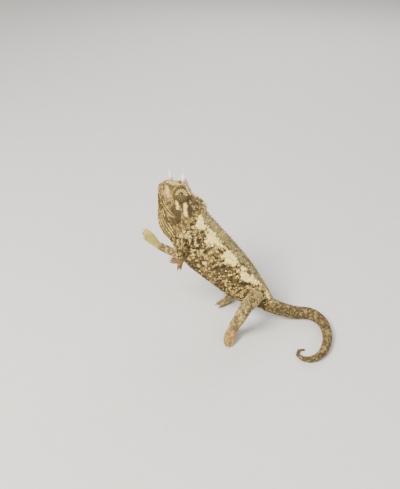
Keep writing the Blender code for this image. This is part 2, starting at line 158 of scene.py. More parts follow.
def nearPath(points, path):  # distance to a bent line, and the share of the way along it
    path = np.asarray(path, float)
    best, along = np.full(len(points), 1e9), np.zeros(len(points))
    for i, (start, end) in enumerate(zip(path, path[1:])):
        edge = end - start
        part = np.clip((points - start) @ edge / max(edge @ edge, 1e-9), 0, 1)
        gap = np.linalg.norm(points - start - part[:, None] * edge, axis=1)
        closer = gap < best
        best[closer] = gap[closer]
        along[closer] = (i + part[closer]) / (len(path) - 1)
    return best, along


def insideShape(flat, corners, soft):  # 1 inside a closed outline and 0 outside it
    ring = np.vstack([corners, corners[:1]])
    gap, _ = nearPath(flat, ring)
    inside = np.zeros(len(flat), bool)
    for (x1, y1), (x2, y2) in zip(ring, ring[1:]):
        if y1 != y2:
            crosses = (y1 > flat[:, 1]) != (y2 > flat[:, 1])
            inside ^= crosses & (flat[:, 0] < (x2 - x1) * (flat[:, 1] - y1) / (y2 - y1) + x1)
    return smoothStep(-soft, soft, np.where(inside, gap, -gap))


def cloudOf(points):
    cloud = KDTree(len(points))
    for i, point in enumerate(points.tolist()):
        cloud.insert(point, i)
    cloud.balance()
    return cloud


def spread(path, step):  # points at an even step along a bent line
    path = np.asarray(path, float)
    lengths = np.linalg.norm(np.diff(path, axis=0), axis=1)
    stops = np.concatenate([[0], np.cumsum(lengths)])
    count = max(2, int(round(stops[-1] / step)) + 1)
    places = np.linspace(0, stops[-1], count)
    return np.column_stack([np.interp(places, stops, path[:, i]) for i in range(path.shape[1])])


# the outline of the body from the side, and where the throat's pleats end, as (s, t)
bellyLine = ((-9.0, -3.6), (-4.0, -5.8), (2.0, -8.4), (8.0, -9.8), (16.0, -10.6), (24.0, -11.5),
             (31.0, -11.8), (36.0, -11.0), (40.0, -9.6), (43.6, -8.4), (46.8, -8.3), (49.6, -7.9),
             (51.6, -6.9), (54.4, -4.6), (57.0, -2.0), (58.8, 0.0), (60.8, 2.1), (62.4, 3.8))
backLine = ((-9.0, 4.6), (-4.0, 6.2), (2.0, 7.8), (8.0, 9.4), (16.0, 10.8), (24.0, 11.6), (31.0, 12.1),
            (36.0, 12.5), (40.0, 12.7), (42.2, 13.5), (43.6, 14.5), (46.8, 14.7), (49.6, 13.8), (57.0, 14.9))
jawLine = ((43.5, -3.2), (45.5, -2.6), (48.5, -2.0), (51.5, -1.2), (54.5, 0.2), (58.0, 2.1), (62.0, 4.6))


def lineAt(line, s):
    return np.interp(s, *zip(*line))


def put(obj, replaced=()):
    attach(obj, "root")
    if replaced:
        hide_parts(*replaced)


def newObject(name, mesh, finish):
    obj = bpy.data.objects.new(name, mesh)
    bpy.context.scene.collection.objects.link(obj)
    mesh.materials.append(finish)
    mesh.shade_smooth()
    return obj


def finished(name, bm, finish):  # a piece made in millimetres
    bmesh.ops.recalc_face_normals(bm, faces=bm.faces)
    bmesh.ops.scale(bm, verts=bm.verts, vec=(mm, mm, mm))
    mesh = bpy.data.meshes.new(name)
    bm.to_mesh(mesh)
    bm.free()
    return newObject(name, mesh, finish)


def coordinates(mesh):
    co = np.zeros(len(mesh.vertices) * 3)
    mesh.vertices.foreach_get("co", co)
    return co.reshape(-1, 3)


def vertexNormals(mesh):
    normals = np.zeros(len(mesh.vertices) * 3, np.float32)
    mesh.vertex_normals.foreach_get("vector", normals)
    return normals.reshape(-1, 3).astype(float)


def writeCoordinates(mesh, co):
    mesh.vertices.foreach_set("co", co.ravel())
    mesh.update()


def edgePairs(mesh):
    pairs = np.zeros(len(mesh.edges) * 2, np.int32)
    mesh.edges.foreach_get("vertices", pairs)
    return pairs.reshape(-1, 2)


def neighbourMean(values, pairs, count):
    total = np.zeros_like(values)
    for axis in range(values.shape[1]):
        total[:, axis] = np.bincount(pairs[:, 0], values[pairs[:, 1], axis], len(values))
        total[:, axis] += np.bincount(pairs[:, 1], values[pairs[:, 0], axis], len(values))
    return total / count


def relaxed(values, pairs, rounds, steps=(0.5,)):  # each vertex moves towards the mean of its neighbours
    count = np.bincount(pairs.ravel(), minlength=len(values))[:, None]
    for _ in range(rounds):
        for step in steps:
            values = values + (neighbourMean(values, pairs, count) - values) * step
    return values


def remeshed(mesh, voxel):  # one closed surface round everything in the mesh
    obj = bpy.data.objects.new("working", mesh)
    bpy.context.scene.collection.objects.link(obj)
    modifier = obj.modifiers.new("voxels", "REMESH")
    modifier.mode = "VOXEL"
    modifier.voxel_size = voxel
    graph = bpy.context.evaluated_depsgraph_get()
    result = bpy.data.meshes.new_from_object(obj.evaluated_get(graph))
    bpy.data.objects.remove(obj)
    return result


# knuckle and tip of each digit, and the radius at the tip; the feet as they stand, the hands in body places
footDigits = {
    "hindLeft": (
        ((-5.4, -11.8, 3.0), (-5.5, -13.9, 0.8), 0.9), ((-3.8, -12.2, 3.1), (-4.1, -14.5, 0.8), 0.95),
        ((-2.1, -11.8, 3.0), (-2.7, -13.9, 0.8), 0.85), ((-2.5, -6.4, 2.5), (-3.4, -3.2, 0.8), 0.9),
        ((-0.9, -6.4, 2.5), (-1.0, -3.0, 0.8), 0.85)),
    "hindRight": (
        ((-2.8, 20.0, 2.7), (-4.4, 22.6, 0.8), 0.9), ((-1.2, 20.6, 2.8), (-2.1, 23.3, 0.8), 0.95),
        ((0.4, 20.2, 2.7), (0.2, 22.8, 0.8), 0.85), ((-4.0, 15.1, 2.4), (-8.5, 13.2, 0.8), 0.9),
        ((-2.7, 13.9, 2.4), (-7.1, 11.0, 0.8), 0.85)),
    "foreLeft": (
        ((51.8, -9.8, 6.2), (54.1, -9.7, 6.0), 0.75), ((52.2, -10.4, 7.0), (54.8, -10.3, 7.0), 0.8),
        ((51.9, -11.1, 7.6), (54.5, -11.3, 7.6), 0.75), ((50.3, -12.4, 5.6), (52.7, -12.7, 5.4), 0.75),
        ((50.0, -12.3, 6.9), (52.2, -12.9, 6.9), 0.75)),
    "foreRight": (
        ((33.5, -15.3, -4.0), (35.4, -15.8, -3.6), 0.7), ((32.9, -16.3, -4.8), (34.9, -17.3, -4.6), 0.75),
        ((32.3, -16.8, -5.6), (33.9, -18.4, -5.8), 0.7), ((31.2, -16.2, -4.0), (30.2, -17.8, -3.8), 0.7),
        ((30.4, -15.9, -5.0), (29.0, -17.4, -5.2), 0.7)),
}
clawValues = {"length": 1.25, "root": 0.27, "point": 0.03, "hook": 0.3, "sides": 10, "rings": 7}


def digitEnds(foot):  # tip, direction of the claw and radius of each digit, in the world
    ends = []
    for knuckle, tip, radius in footDigits[foot]:
        onFloor = foot.startswith("hind")
        if not onFloor:
            knuckle, tip = toWorld([knuckle, tip], withHead=False)
        tip = np.array(tip)
        ahead = unit(tip - np.array(knuckle))
        if onFloor:
            level = unit(np.array((ahead[0], ahead[1], 0)))
            ahead = unit(level - np.array((0, 0, 0.45)))
        ends.append((tip, ahead, radius))
    return ends


skinValues = {
    "swell": 0.26,          # closes the thin cuts between the solids
    "footSwell": 0.16,
    "voxel": 0.41,
    "fineFrom": 45.5,       # the head in front of this place, and the feet, get a mesh twice as fine
    "rounding": 9,
    "firmly": (0.55, -0.5),     # a round of smoothing: in, and out again
    "lightly": (0.5, -0.45),
    "clawReach": 2.6,
    "cornerSwell": 1.6,     # a sharp corner moves out at most this many times as far
    "crest": (-8, 42.6, 1.8, 2),  # from, to, half width and height of what is drawn in
    "lidDepth": 1.4,
    "shade": 0.34,          # painted shade: the skin between the scales is darker than they are
}
coatDepth = {"head": 0.24, "throat": 0.26, "trunk": 0.32, "limb": 0.28, "foot": 0.2, "tail": 0.28}


def joinedFlesh():
    whole = bmesh.new()
    nodeOfFace = []
    for index, node in enumerate(fleshNodes):
        before = len(whole.faces)
        whole.from_mesh(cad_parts[node].data)
        nodeOfFace += [index] * (len(whole.faces) - before)
    layer = whole.faces.layers.int.new("node")
    whole.faces.ensure_lookup_table()
    for face, index in zip(whole.faces, nodeOfFace):
        face[layer] = index
    bmesh.ops.remove_doubles(whole, verts=whole.verts, dist=0.002 * mm)
    bmesh.ops.scale(whole, verts=whole.verts, vec=(1 / mm, 1 / mm, 1 / mm))
    whole.normal_update()
    return whole, layer


flesh, nodeLayer = joinedFlesh()
fleshTree = BVHTree.FromBMesh(flesh)
flesh.faces.ensure_lookup_table()
fleshFaceNode = np.array([face[nodeLayer] for face in flesh.faces])


def nodeAt(points):
    return fleshFaceNode[[fleshTree.find_nearest(point)[2] for point in points.tolist()]]


def swollenFlesh():  # with the claws and the crest's cones drawn in, as they are pieces of their own
    bm = flesh.copy()
    layer = bm.faces.layers.int["node"]
    foot = inRegion(np.arange(len(fleshNodes)), "foot")
    moves = []
    for vert in bm.verts:
        onFoot = foot[vert.link_faces[0][layer]]
        swell = skinValues["footSwell" if onFoot else "swell"]
        moves.append(vert.normal * swell * min(skinValues["cornerSwell"], vert.calc_shell_factor()))
    co = np.array([vert.co + move for vert, move in zip(bm.verts, moves)])
    co = drawInCrest(drawInClaws(co))
    for vert, place in zip(bm.verts, co):
        vert.co = place
    mesh = bpy.data.meshes.new("flesh")
    bm.to_mesh(mesh)
    bm.free()
    return mesh


def finerParts(mesh):  # the head and the feet carry the finest forms
    bm = bmesh.new()
    bm.from_mesh(mesh)
    centres = np.array([face.calc_center_median() for face in bm.faces])
    wanted = toBody(centres)[:, 0] > skinValues["fineFrom"]
    wanted |= inRegion(nodeAt(centres), "foot")
    edges = {edge for face, fine in zip(bm.faces, wanted) if fine for edge in face.edges}
    bmesh.ops.subdivide_edges(bm, edges=list(edges), cuts=1, use_grid_fill=True)
    bm.to_mesh(mesh)
    bm.free()
    return mesh


def drawInClaws(co):  # the claws are pieces of their own, so the skin ends round at each tip
    for foot in footDigits:
        ends = digitEnds(foot)
        gaps = [nearPath(co, (tip - 2 * ahead, tip + 2 * ahead))[0] - radius for tip, ahead, radius in ends]
        nearest = np.argmin(gaps, axis=0)
        for i, (tip, ahead, radius) in enumerate(ends):
            along, aside = fromAxis(co, tip, ahead)
            near = (along > 0) & (along < skinValues["clawReach"]) & (aside < radius + 0.5) & (nearest == i)
            arm = co - tip
            length = np.maximum(np.linalg.norm(arm, axis=1), 1e-6)
            share = np.where(near, np.minimum(1, (radius + skinValues["footSwell"]) / length), 1)
            co = tip + arm * share[:, None]
    return co


def drawInCrest(co):  # and the crest's cones are scales
    start, end, halfWidth, height = skinValues["crest"]
    places = toBody(co)
    top = lineAt(backLine, places[:, 0]) + skinValues["swell"]
    over = np.clip(places[:, 1] - top, 0, height) * (np.abs(places[:, 2]) < halfWidth)
    over = over * (places[:, 0] < end) * (places[:, 0] > start)
    up = toWorld(places + (0, 1, 0)) - co
    return co - up * over[:, None]


def sinkUnderLids(co):  # a bowl under each eyelid, which leaves room for the eyeball
    rim = eyeValues["radius"]
    for side in (1, -1):
        centre, _, _, gaze = eyeFrame(side)
        high, aside = fromAxis(co, centre, gaze)
        depth = skinValues["lidDepth"] * (1 - smoothStep(rim * 0.8, rim, aside)) * (high > 0) * (high < 4)
        co = co - gaze * depth[:, None]
    return co


def skinMesh():
    swollen = swollenFlesh()
    shape = surfaceTree(swollen)
    mesh = remeshed(swollen, skinValues["voxel"])
    firmly, lightly = skinValues["firmly"], skinValues["lightly"]
    writeCoordinates(mesh, relaxed(coordinates(mesh), edgePairs(mesh), skinValues["rounding"], firmly))
    mesh = finerParts(mesh)
    pairs = edgePairs(mesh)
    co = relaxed(coordinates(mesh), pairs, 3, lightly)
    node = nodeAt(co)
    feet = inRegion(node, "foot")
    for _ in range(2):  # the feet take up the shape of the digits again
        co[feet] = snapped(shape, co[feet])[0]
        co = np.where(feet[:, None], relaxed(co, pairs, 1), co)
    co = np.where(feet[:, None], relaxed(co, pairs, 5, lightly), co)
    depth = byRegion(coatDepth, node) + np.where(feet, skinValues["footSwell"], skinValues["swell"])
    depth = relaxed(depth[:, None], pairs, 12)
    for _ in range(3):  # in three steps, as the normals turn a little at each
        writeCoordinates(mesh, co)
        co = co - vertexNormals(mesh) * depth / 3
        co = relaxed(co, pairs, 1, (0.3, -0.25))
    writeCoordinates(mesh, sinkUnderLids(co))
    return mesh


def surfaceTree(mesh):
    faces = [tuple(face.vertices) for face in mesh.polygons]
    return BVHTree.FromPolygons(coordinates(mesh).tolist(), faces)


def snapped(tree, points):
    hits = [tree.find_nearest(point) for point in points.tolist()]
    return np.array([hit[0] for hit in hits]), np.array([hit[1] for hit in hits])


def laidPath(tree, path, step):  # a path of (s, t, w) laid on the skin
    return snapped(tree, toWorld(spread(path, step)))[0]


# ridges and grooves of the head and neck, as (s, t, w) paths: width and rise
mouthLine = ((63.5, 5.3, 0.0), (63.1, 5.1, 1.0), (62.2, 4.8, 1.7), (60.5, 4.1, 2.4), (58.4, 2.9, 2.9),
             (56.4, 1.9, 3.3), (53.5, 1.2, 3.9), (50.8, 1.3, 4.3), (49.2, 1.9, 4.5))
browLine = ((58.9, 12.4, 2.5), (57.6, 14.2, 2.7), (55.6, 15.0, 2.9), (53.0, 14.2, 3.1), (51.0, 13.2, 3.3))
snoutLine = ((58.6, 12.4, 2.4), (60.4, 10.6, 2.1), (61.8, 9.4, 1.6), (62.8, 8.6, 0.8))
casqueLine = ((50.8, 12.7, 3.4), (48.6, 12.6, 3.6), (46.2, 13.1, 3.1), (44.0, 13.7, 2.0), (42.6, 13.8, 0.6))
crownLine = ((52.0, 13.7, 0.0), (49.5, 13.9, 0.0), (46.8, 14.8, 0.0), (44.0, 14.8, 0.0), (42.4, 13.9, 0.0))
headForms = {
    "brow": (browLine, 0.55, 0.42),
    "snoutRidge": (snoutLine, 0.45, 0.3),
    "casqueEdge": (casqueLine, 0.5, 0.42),
    "crownRidge": (crownLine, 0.5, 0.3),
    "mouth": (mouthLine, 0.24, -0.5),
    "upperLip": ([(s, t + 0.65, w) for s, t, w in mouthLine], 0.42, 0.16),
    "lowerLip": ([(s, t - 0.65, w) for s, t, w in mouthLine], 0.42, 0.16),
    "nostril": (((61.9, 7.5, 1.7), (61.5, 7.7, 1.9)), 0.26, -0.5),
    "nostrilRim": (((62.2, 8.1, 1.4), (61.4, 8.3, 1.9)), 0.4, 0.16),
    "jawBack": (((47.6, 7.8, 4.7), (46.2, 5.2, 4.8), (45.8, 1.8, 4.6), (46.6, -1.2, 4.2), (48.6, -2.4, 4.1)),
                0.6, -0.38),
    "jawLobe": (((49.6, 3.6, 4.6), (48.4, 2.4, 4.6), (48.6, 0.6, 4.5)), 1.5, 0.42),
    "temple": (((49.9, 9.6, 4.4), (47.6, 9.8, 4.5), (45.6, 11.0, 4.0)), 1.0, -0.3),
    "underEye": (((56.8, 7.0, 3.6), (54.2, 6.1, 4.1), (51.2, 6.3, 4.5)), 0.45, -0.22),
    "cheek": (((57.2, 5.0, 3.4), (54.4, 4.2, 3.9), (52.0, 4.2, 4.3)), 0.9, 0.18),
    "nape": (((42.6, 12.0, 2.6), (43.0, 9.0, 4.4), (43.6, 5.4, 4.8)), 0.55, -0.25),
    "neckFold": (((40.9, 8.0, 4.7), (41.4, 3.6, 4.8), (42.4, -1.0, 4.4), (43.6, -5.0, 3.2)), 0.5, -0.2),
}
pleats = {
    "count": 5,
    "rise": 0.2,
    "from": 44.0,
    "to": 61.6,
    "halfWidth": (1.2, 3.6),      # of the throat: at its keel, and what it gains up to the jaw
    "plates": (0.44, 0.24, 0.6),  # their pitch, radius, and height for the radius
}


def pleatPlace(places):  # 0 at the keel of the throat, 1 at the jaw
    low = lineAt(bellyLine, places[:, 0])
    return (places[:, 1] - low) / (lineAt(jawLine, places[:, 0]) - low)


jointFolds = {  # where a length of limb meets the one before it: rounds of spreading, width and depth
    "root": (("thigh_", "upper_arm_", "shank_", "forearm_", "hind_foot_", "fore_foot_"), 9, 0.2, 0.3),
    "bend": (("shank_", "forearm_", "hind_foot_", "fore_foot_"), 5, 0.16, 0.14),
    "wrist": (("hind_foot_", "fore_foot_"), 5, 0.16, 0.12),
}


def creases(mesh, node):  # a fold runs round each limb where its lengths meet
    rise = np.zeros(len(node))
    pairs = edgePairs(mesh)
    for names, rounds, width, depth in jointFolds.values():
        beyond = np.array([float(name.startswith(names)) for name in fleshNodes])[node]
        share = relaxed(beyond[:, None], pairs, rounds)[:, 0]
        rise -= depth * np.exp(-((share - 0.5) / width) ** 2)
    return rise


furrowValues = {  # between two digits, or between the two bundles: width, depth and reach
    "digits": (((0, 1), (1, 2), (3, 4)), 0.2, 0.12, 1.7),
    "bundles": (((2, 3), (0, 3), (2, 4)), 0.4, 0.15, 1.5),
}


def furrows(co):  # the bound digits show as ridges with a furrow between them
    rise = np.zeros(len(co))
    for foot, digits in footDigits.items():
        for kind, (between, width, depth, reach) in furrowValues.items():
            deepest = np.zeros(len(co))
            if kind == "bundles" and foot.startswith("hind"):
                continue
            for a, b in between:
                ends = np.array([digits[a][0], digits[b][0], digits[a][1], digits[b][1]])
                if foot.startswith("fore"):
                    ends = toWorld(ends, withHead=False)
                middle = np.array(((ends[0] + ends[1]) / 2, (ends[2] + ends[3]) / 2))
                apart = unit(ends[3] - ends[2] + ends[1] - ends[0])
                start = middle[0] + (middle[0] - middle[1]) * 0.7
                gap, along = nearPath(co, (start, middle[1]))
                aside = (co - middle[1]) @ apart
                near = (gap < reach) * smoothStep(0.0, 0.3, along)
                deepest = np.maximum(deepest, near * depth * np.exp(-(aside / width) ** 2))
            rise -= deepest
    return rise


modelling = {
    "hornCollar": (0.6, 0.38),       # width and rise of the skin round a horn's root
    "ribWaves": (3.3, 0.35, 0.1),    # length, slant and rise of the waves over the ribs
    "unevenness": (1.6, 0.07),
    "sharpest": 0.12,                # folds with more spread between their normals than this are rounded
    "sharpestOnFeet": 0.2,
    "meltRounds": 10,
}


def sculpt(mesh):
    tree = surfaceTree(mesh)
    co, normals = coordinates(mesh), vertexNormals(mesh)
    places, node = toBody(co), nodeAt(co)
    s, aside = places[:, 0], np.abs(places[:, 2])
    head = s > 38
    rise = np.zeros(len(co))
    for path, width, height in headForms.values():
        for side in (1, -1):
            if side < 0 and all(point[2] == 0 for point in path):
                continue
            gap, _ = nearPath(co[head], laidPath(tree, mirrored(path, side), 0.6))
            rise[head] += height * np.exp(-(gap / width) ** 2)
    width, height = modelling["hornCollar"]
    rise[head] += height * np.exp(-(hornGap(co[head]) / width) ** 2)
    u = pleatPlace(places)
    start, end = pleats["from"], pleats["to"]
    onThroat = window(s, (start - 1.5, start + 1), (end - 1, end + 0.6))
    onThroat *= (1 - smoothStep(0.95, 1.05, u)) * (u > -0.3) * (aside < 5.4)
    rise -= onThroat * pleats["rise"] * np.cos(2 * pi * pleats["count"] * u)
    length, slant, height = modelling["ribWaves"]
    trunk = window(s, (2, 8), (36, 40)) * (aside > 2)
    rise += trunk * height * np.sin(2 * pi * (s + slant * places[:, 1]) / length)
    size, height = modelling["unevenness"]
    rise += height * mottle(co, size, 3)
    rise += creases(mesh, node) + furrows(co)
    writeCoordinates(mesh, co + normals * rise[:, None])
    onFoot = inRegion(node, "foot")
    limit = np.where(onFoot, modelling["sharpestOnFeet"], modelling["sharpest"])
    meltSpikes(mesh, limit, onFoot | (s < 46))


def meltSpikes(mesh, limit, here):  # rounds off what the folds have left too sharp to carry a scale
    pairs = edgePairs(mesh)
    co = coordinates(mesh)
    for _ in range(modelling["meltRounds"]):
        sharpness = 1 - np.linalg.norm(relaxed(vertexNormals(mesh), pairs, 3), axis=1)
        share = smoothStep(limit, limit + 0.2, sharpness) * here
        co = co + (relaxed(co, pairs, 2) - co) * share[:, None]
        writeCoordinates(mesh, co)


scaleValues = {  # small radius, big radius, share of big ones, height for the radius
    "head": (0.2, 0.34, 0.1, 0.5),
    "throat": (0.19, 0.26, 0.08, 0.5),
    "trunk": (0.24, 0.42, 0.1, 0.5),
    "limb": (0.22, 0.36, 0.1, 0.5),
    "foot": (0.16, 0.22, 0.12, 0.45),
    "tail": (0.23, 0.36, 0.1, 0.5),
}
coat = {
    "seed": 5,
    "crowding": 5.5,        # places tried for each that is kept
    "packing": 0.84,        # how close two scales may be, for the sum of their radii
    "bigSpacing": 1.75,
    "sizes": (0.85, 1.15),
    "rises": (0.8, 1.2),
    "shades": (0.78, 1.2),
    "bigShade": 1.08,
    "neighbours": 12,
    "reach": (0.5, 1.5),    # least and most of an outline's reach, for the radius
    "roundness": 1.26,      # a corner's reach, for that of the corners beside it
    "gap": 1.06,
    "sunk": 0.06,
    "tilt": 0.1,
    "patch": 0.00145,       # half the width of a scale's patch in the map
}
domeSides = 8


def scaleShape(rings):  # a closed unit dome; rings are (radius, height)
    bm = bmesh.new()
    bmesh.ops.create_circle(bm, cap_ends=True, radius=1, segments=domeSides)
    edges = bm.edges[:]
    bmesh.ops.translate(bm, verts=bm.verts, vec=(0, 0, rings[0][1]))
    before = rings[0]
    for radius, height in rings[1:]:
        made = bmesh.ops.extrude_edge_only(bm, edges=edges)["geom"]
        verts = [part for part in made if isinstance(part, bmesh.types.BMVert)]
        edges = [part for part in made if isinstance(part, bmesh.types.BMEdge)]
        edges = [edge for edge in edges if set(edge.verts) <= set(verts)]
        share = radius / before[0]
        bmesh.ops.scale(bm, verts=verts, vec=(share, share, 1))
        bmesh.ops.translate(bm, verts=verts, vec=(0, 0, height - before[1]))
        before = (radius, height)
    top = bmesh.ops.edgeloop_fill(bm, edges=edges)["faces"]
    centre = bmesh.ops.poke(bm, faces=top)["verts"]
    bmesh.ops.translate(bm, verts=centre, vec=(0, 0, 1 - before[1]))
    bmesh.ops.recalc_face_normals(bm, faces=bm.faces)
    co = np.array([vert.co for vert in bm.verts])
    turn = np.arctan2(co[:, 1], co[:, 0])
    corner = np.round(turn / (2 * pi / domeSides)).astype(int) % domeSides
    faces = [[vert.index for vert in face.verts] for face in bm.faces]
    base = [len(face.verts) == domeSides and face.normal.z < 0 for face in bm.faces]
    bm.free()
    return {"co": co, "turn": turn, "corner": corner, "faces": faces, "base": base}


coarseDome = scaleShape(((1, -0.4), (0.92, 0.32), (0.6, 0.8)))
fineDome = scaleShape(((1, -0.4), (0.88, 0.5)))


def surfaceSamples(mesh, rng):  # points on the skin, crowded in proportion to the scales there
    mesh.calc_loop_triangles()
    count = len(mesh.loop_triangles)
    corners = np.zeros(count * 3, np.int32)
    mesh.loop_triangles.foreach_get("vertices", corners)
    corners = corners.reshape(-1, 3)
    co, normals = coordinates(mesh), vertexNormals(mesh)
    a, b, c = (co[corners[:, i]] for i in range(3))
    area = np.linalg.norm(np.cross(b - a, c - a), axis=1) / 2
    node = nodeAt((a + b + c) / 3)
    weight = area / byRegion(scaleValues, node)[:, 0] ** 2
    total = int(weight.sum() * coat["crowding"] / 2)
    picks = np.searchsorted(np.cumsum(weight) / weight.sum(), np.sort(rng.random(total)))
    picks = np.minimum(picks, count - 1)
    first, second = rng.random(total), rng.random(total)
    over = first + second > 1
    first[over], second[over] = 1 - first[over], 1 - second[over]
    third = 1 - first - second
    mix = np.column_stack([third, first, second])
    points = (co[corners[picks]] * mix[:, :, None]).sum(1)
    facing = unit((normals[corners[picks]] * mix[:, :, None]).sum(1))
    return points, facing, node[picks]


rowValues = {  # rows of shaped scales: (s, t, w) path, pitch, radius, height for the radius
    "upperLip": ([(s, t + 0.46, w) for s, t, w in mouthLine], 0.56, 0.3, 0.7),
    "lowerLip": ([(s, t - 0.46, w) for s, t, w in mouthLine], 0.54, 0.29, 0.7),
    "brow": (browLine, 0.56, 0.32, 0.8),
    "snoutRidge": (snoutLine, 0.5, 0.28, 0.7),
    "casqueEdge": (casqueLine, 0.58, 0.33, 0.8),
    "crownRidge": (crownLine, 0.56, 0.32, 0.8),
}


hornRing = {"radius": 0.28, "height": 0.8, "pitch": 0.52, "out": 0.22, "clear": 0.45}


def hornRoots():  # where each horn leaves the head, its direction and its radius there
    roots = []
    for name, side in (("rostral", 1), ("brow", 1), ("brow", -1)):
        values = hornValues[name]
        root, tip = toWorld(mirrored((values["root"], values["tip"]), side))
        roots.append((root, unit(tip - root), values["radius"] + hornValues["point"]))
    return roots


def hornGap(points):  # distance to the nearest horn's side, near its root
    gap = np.full(len(points), 9.0)
    for root, axis, girth in hornRoots():
        along, aside = fromAxis(points, root, axis)
        gap = np.where((along > -0.8) & (along < 2), np.minimum(gap, aside - girth), gap)
    return gap


def rowScales(tree):  # the rows on both sides, the pleats' rows, and a ring round each horn
    rows = list(rowValues.items())
    for k in range(pleats["count"]):
        u = (k + 0.5) / pleats["count"]
        s = np.arange(pleats["from"] + 0.5, pleats["to"] - 0.5 * k, 0.5)
        low, (keel, gain) = lineAt(bellyLine, s), pleats["halfWidth"]
        path = np.column_stack([s, low + (lineAt(jawLine, s) - low) * u, keel + gain * np.sqrt(u) + 0 * s])
        rows.append(("pleat", (path, *pleats["plates"])))
    laid = []
    for name, (path, pitch, size, height) in rows:
        for side in (1, -1):
            if side > 0 or any(point[2] != 0 for point in path):
                world = toWorld(spread(mirrored(path, side), pitch))
                laid.append((name, world[hornGap(world) > hornRing["clear"]], size, height))
    for root, axis, girth in hornRoots():
        out = girth + hornRing["out"]
        across = unit(np.cross(axis, axes[2]))
        turns = np.linspace(0, 2 * pi, int(2 * pi * out / hornRing["pitch"]), endpoint=False)[:, None]
        ring = root + (across * np.cos(turns) + np.cross(axis, across) * np.sin(turns)) * out
        laid.append(("hornRing", ring, hornRing["radius"], hornRing["height"]))
    spots, normals = zip(*(snapped(tree, world) for _, world, _, _ in laid))
    counts = [len(world) for _, world, _, _ in laid]
    kind, size, height = (np.repeat([row[i] for row in laid], counts) for i in (0, 2, 3))
    return np.vstack(spots), np.vstack(normals), size, height, kind


def keepOff(points, tree):  # no scale lies in the mouth line, in a nostril, under a lid or on a horn
    off = hornGap(points) < 0.1
    for side in (1, -1):
        for path, width in ((mouthLine, 0.3), (headForms["nostril"][0], 0.42)):
            off |= nearPath(points, laidPath(tree, mirrored(path, side), 0.5))[0] < width
        centre, _, _, gaze = eyeFrame(side)
        high, aside = fromAxis(points, centre, gaze)
        lid = np.hypot(aside, np.maximum(high, 0) / eyeValues["flatten"])
        off |= (lid < eyeValues["radius"] + 0.12) & (high > -3.4)
    return off


def chooseScales(mesh, tree):
    rng = np.random.default_rng(coat["seed"])
    points, facing, node = surfaceSamples(mesh, rng)
    keep = ~keepOff(points, tree)
    points, facing, node = points[keep], facing[keep], node[keep]
    small, big, share, rise = byRegion(scaleValues, node).T
    isBig = rng.random(len(points)) < share
    radius = np.where(isBig, big, small) * rng.uniform(*coat["sizes"], len(points))
    radius = radius * digitShare(points) * templeShare(toBody(points))
    rise = rise * rng.uniform(*coat["rises"], len(rise))
    rowPoints, rowFacing, rowRadius, rowRise, rowKind = rowScales(tree)
    rows = len(rowPoints)
    points, facing = np.vstack([rowPoints, points]), np.vstack([rowFacing, facing])
    radius, rise = np.concatenate([rowRadius, radius]), np.concatenate([rowRise, rise])
    node = np.concatenate([nodeAt(rowPoints), node])
    isBig = np.concatenate([np.zeros(rows, bool), isBig])
    kind = np.concatenate([rowKind, np.where(isBig[rows:], "big", "small")])
    order = np.concatenate([np.arange(rows), rows + np.argsort(rng.random(len(node) - rows) - isBig[rows:])])
    chosen = roomiest(points, radius.tolist(), isBig.tolist(), order.tolist(), rows)
    return points[chosen], facing[chosen], node[chosen], radius[chosen], rise[chosen], kind[chosen]


def roomiest(points, radius, isBig, order, rows):  # takes each place in turn that has room left for its scale
    cloud, pointList = cloudOf(points), points.tolist()
    free, chosen, widest = [True] * len(points), [], max(radius)
    for i in order:
        if not free[i]:
            continue
        chosen.append(i)
        room = (radius[i] + widest) * coat["bigSpacing" if isBig[i] else "packing"]
        for _, j, gap in cloud.find_range(pointList[i], room):
            spacing = coat["bigSpacing" if isBig[i] and isBig[j] else "packing"]
            if gap < (radius[i] + radius[j]) * spacing and (i >= rows or j >= rows):
                free[j] = False
        free[i] = False
    return np.array(chosen)


def templeShare(places):  # larger plates on the side of the casque
    s, t = places[:, 0], places[:, 1]
    return 1 + 0.3 * window(s, (42.5, 43.5), (49.5, 50.5)) * smoothStep(7.5, 9.0, t)


def digitShare(points):  # scales grow smaller towards the ends of the digits and of the tail
    share = np.ones(len(points))
    for foot in footDigits:
        for tip, _, _ in digitEnds(foot):
            share = np.minimum(share, 0.8 + 0.2 * smoothStep(0.5, 3.0, np.linalg.norm(points - tip, axis=1)))
    tailEnd = np.mean(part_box("tail_6"), axis=0) / mm
    share *= 0.68 + 0.32 * smoothStep(2, 22, np.linalg.norm(points - tailEnd, axis=1))
    return share


def lieDirections(node):  # the way the scales lie: towards the tail, and out along the limbs
    centres = {name: np.mean(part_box(name), axis=0) / mm for name in fleshNodes}
    chains = [["tail_" + str(i) for i in range(1, 7)]]
    for side in ("left", "right"):
        chains += [["thigh_" + side, "shank_" + side, "hind_foot_" + side],
                   ["upper_arm_" + side, "forearm_" + side, "fore_foot_" + side]]
    ways = {name: -bodyDirection((1, 0, 0), 50.0 if name in ("head", "lower_jaw", "throat") else 20.0)
            for name in fleshNodes}
    for chain in chains:
        for here, after in zip(chain, chain[1:] + [None]):
            if after:
                ways[here] = unit(centres[after] - centres[here])
            else:
                ways[here] = ways[chain[-2]]
    return np.array([ways[name] for name in fleshNodes])[node]


def scaleAxes(facing, lie):  # across a scale, and along it the way it lies
    along = unit(lie - facing * np.einsum("nc,nc->n", lie, facing)[:, None])
    return np.cross(facing, along), along


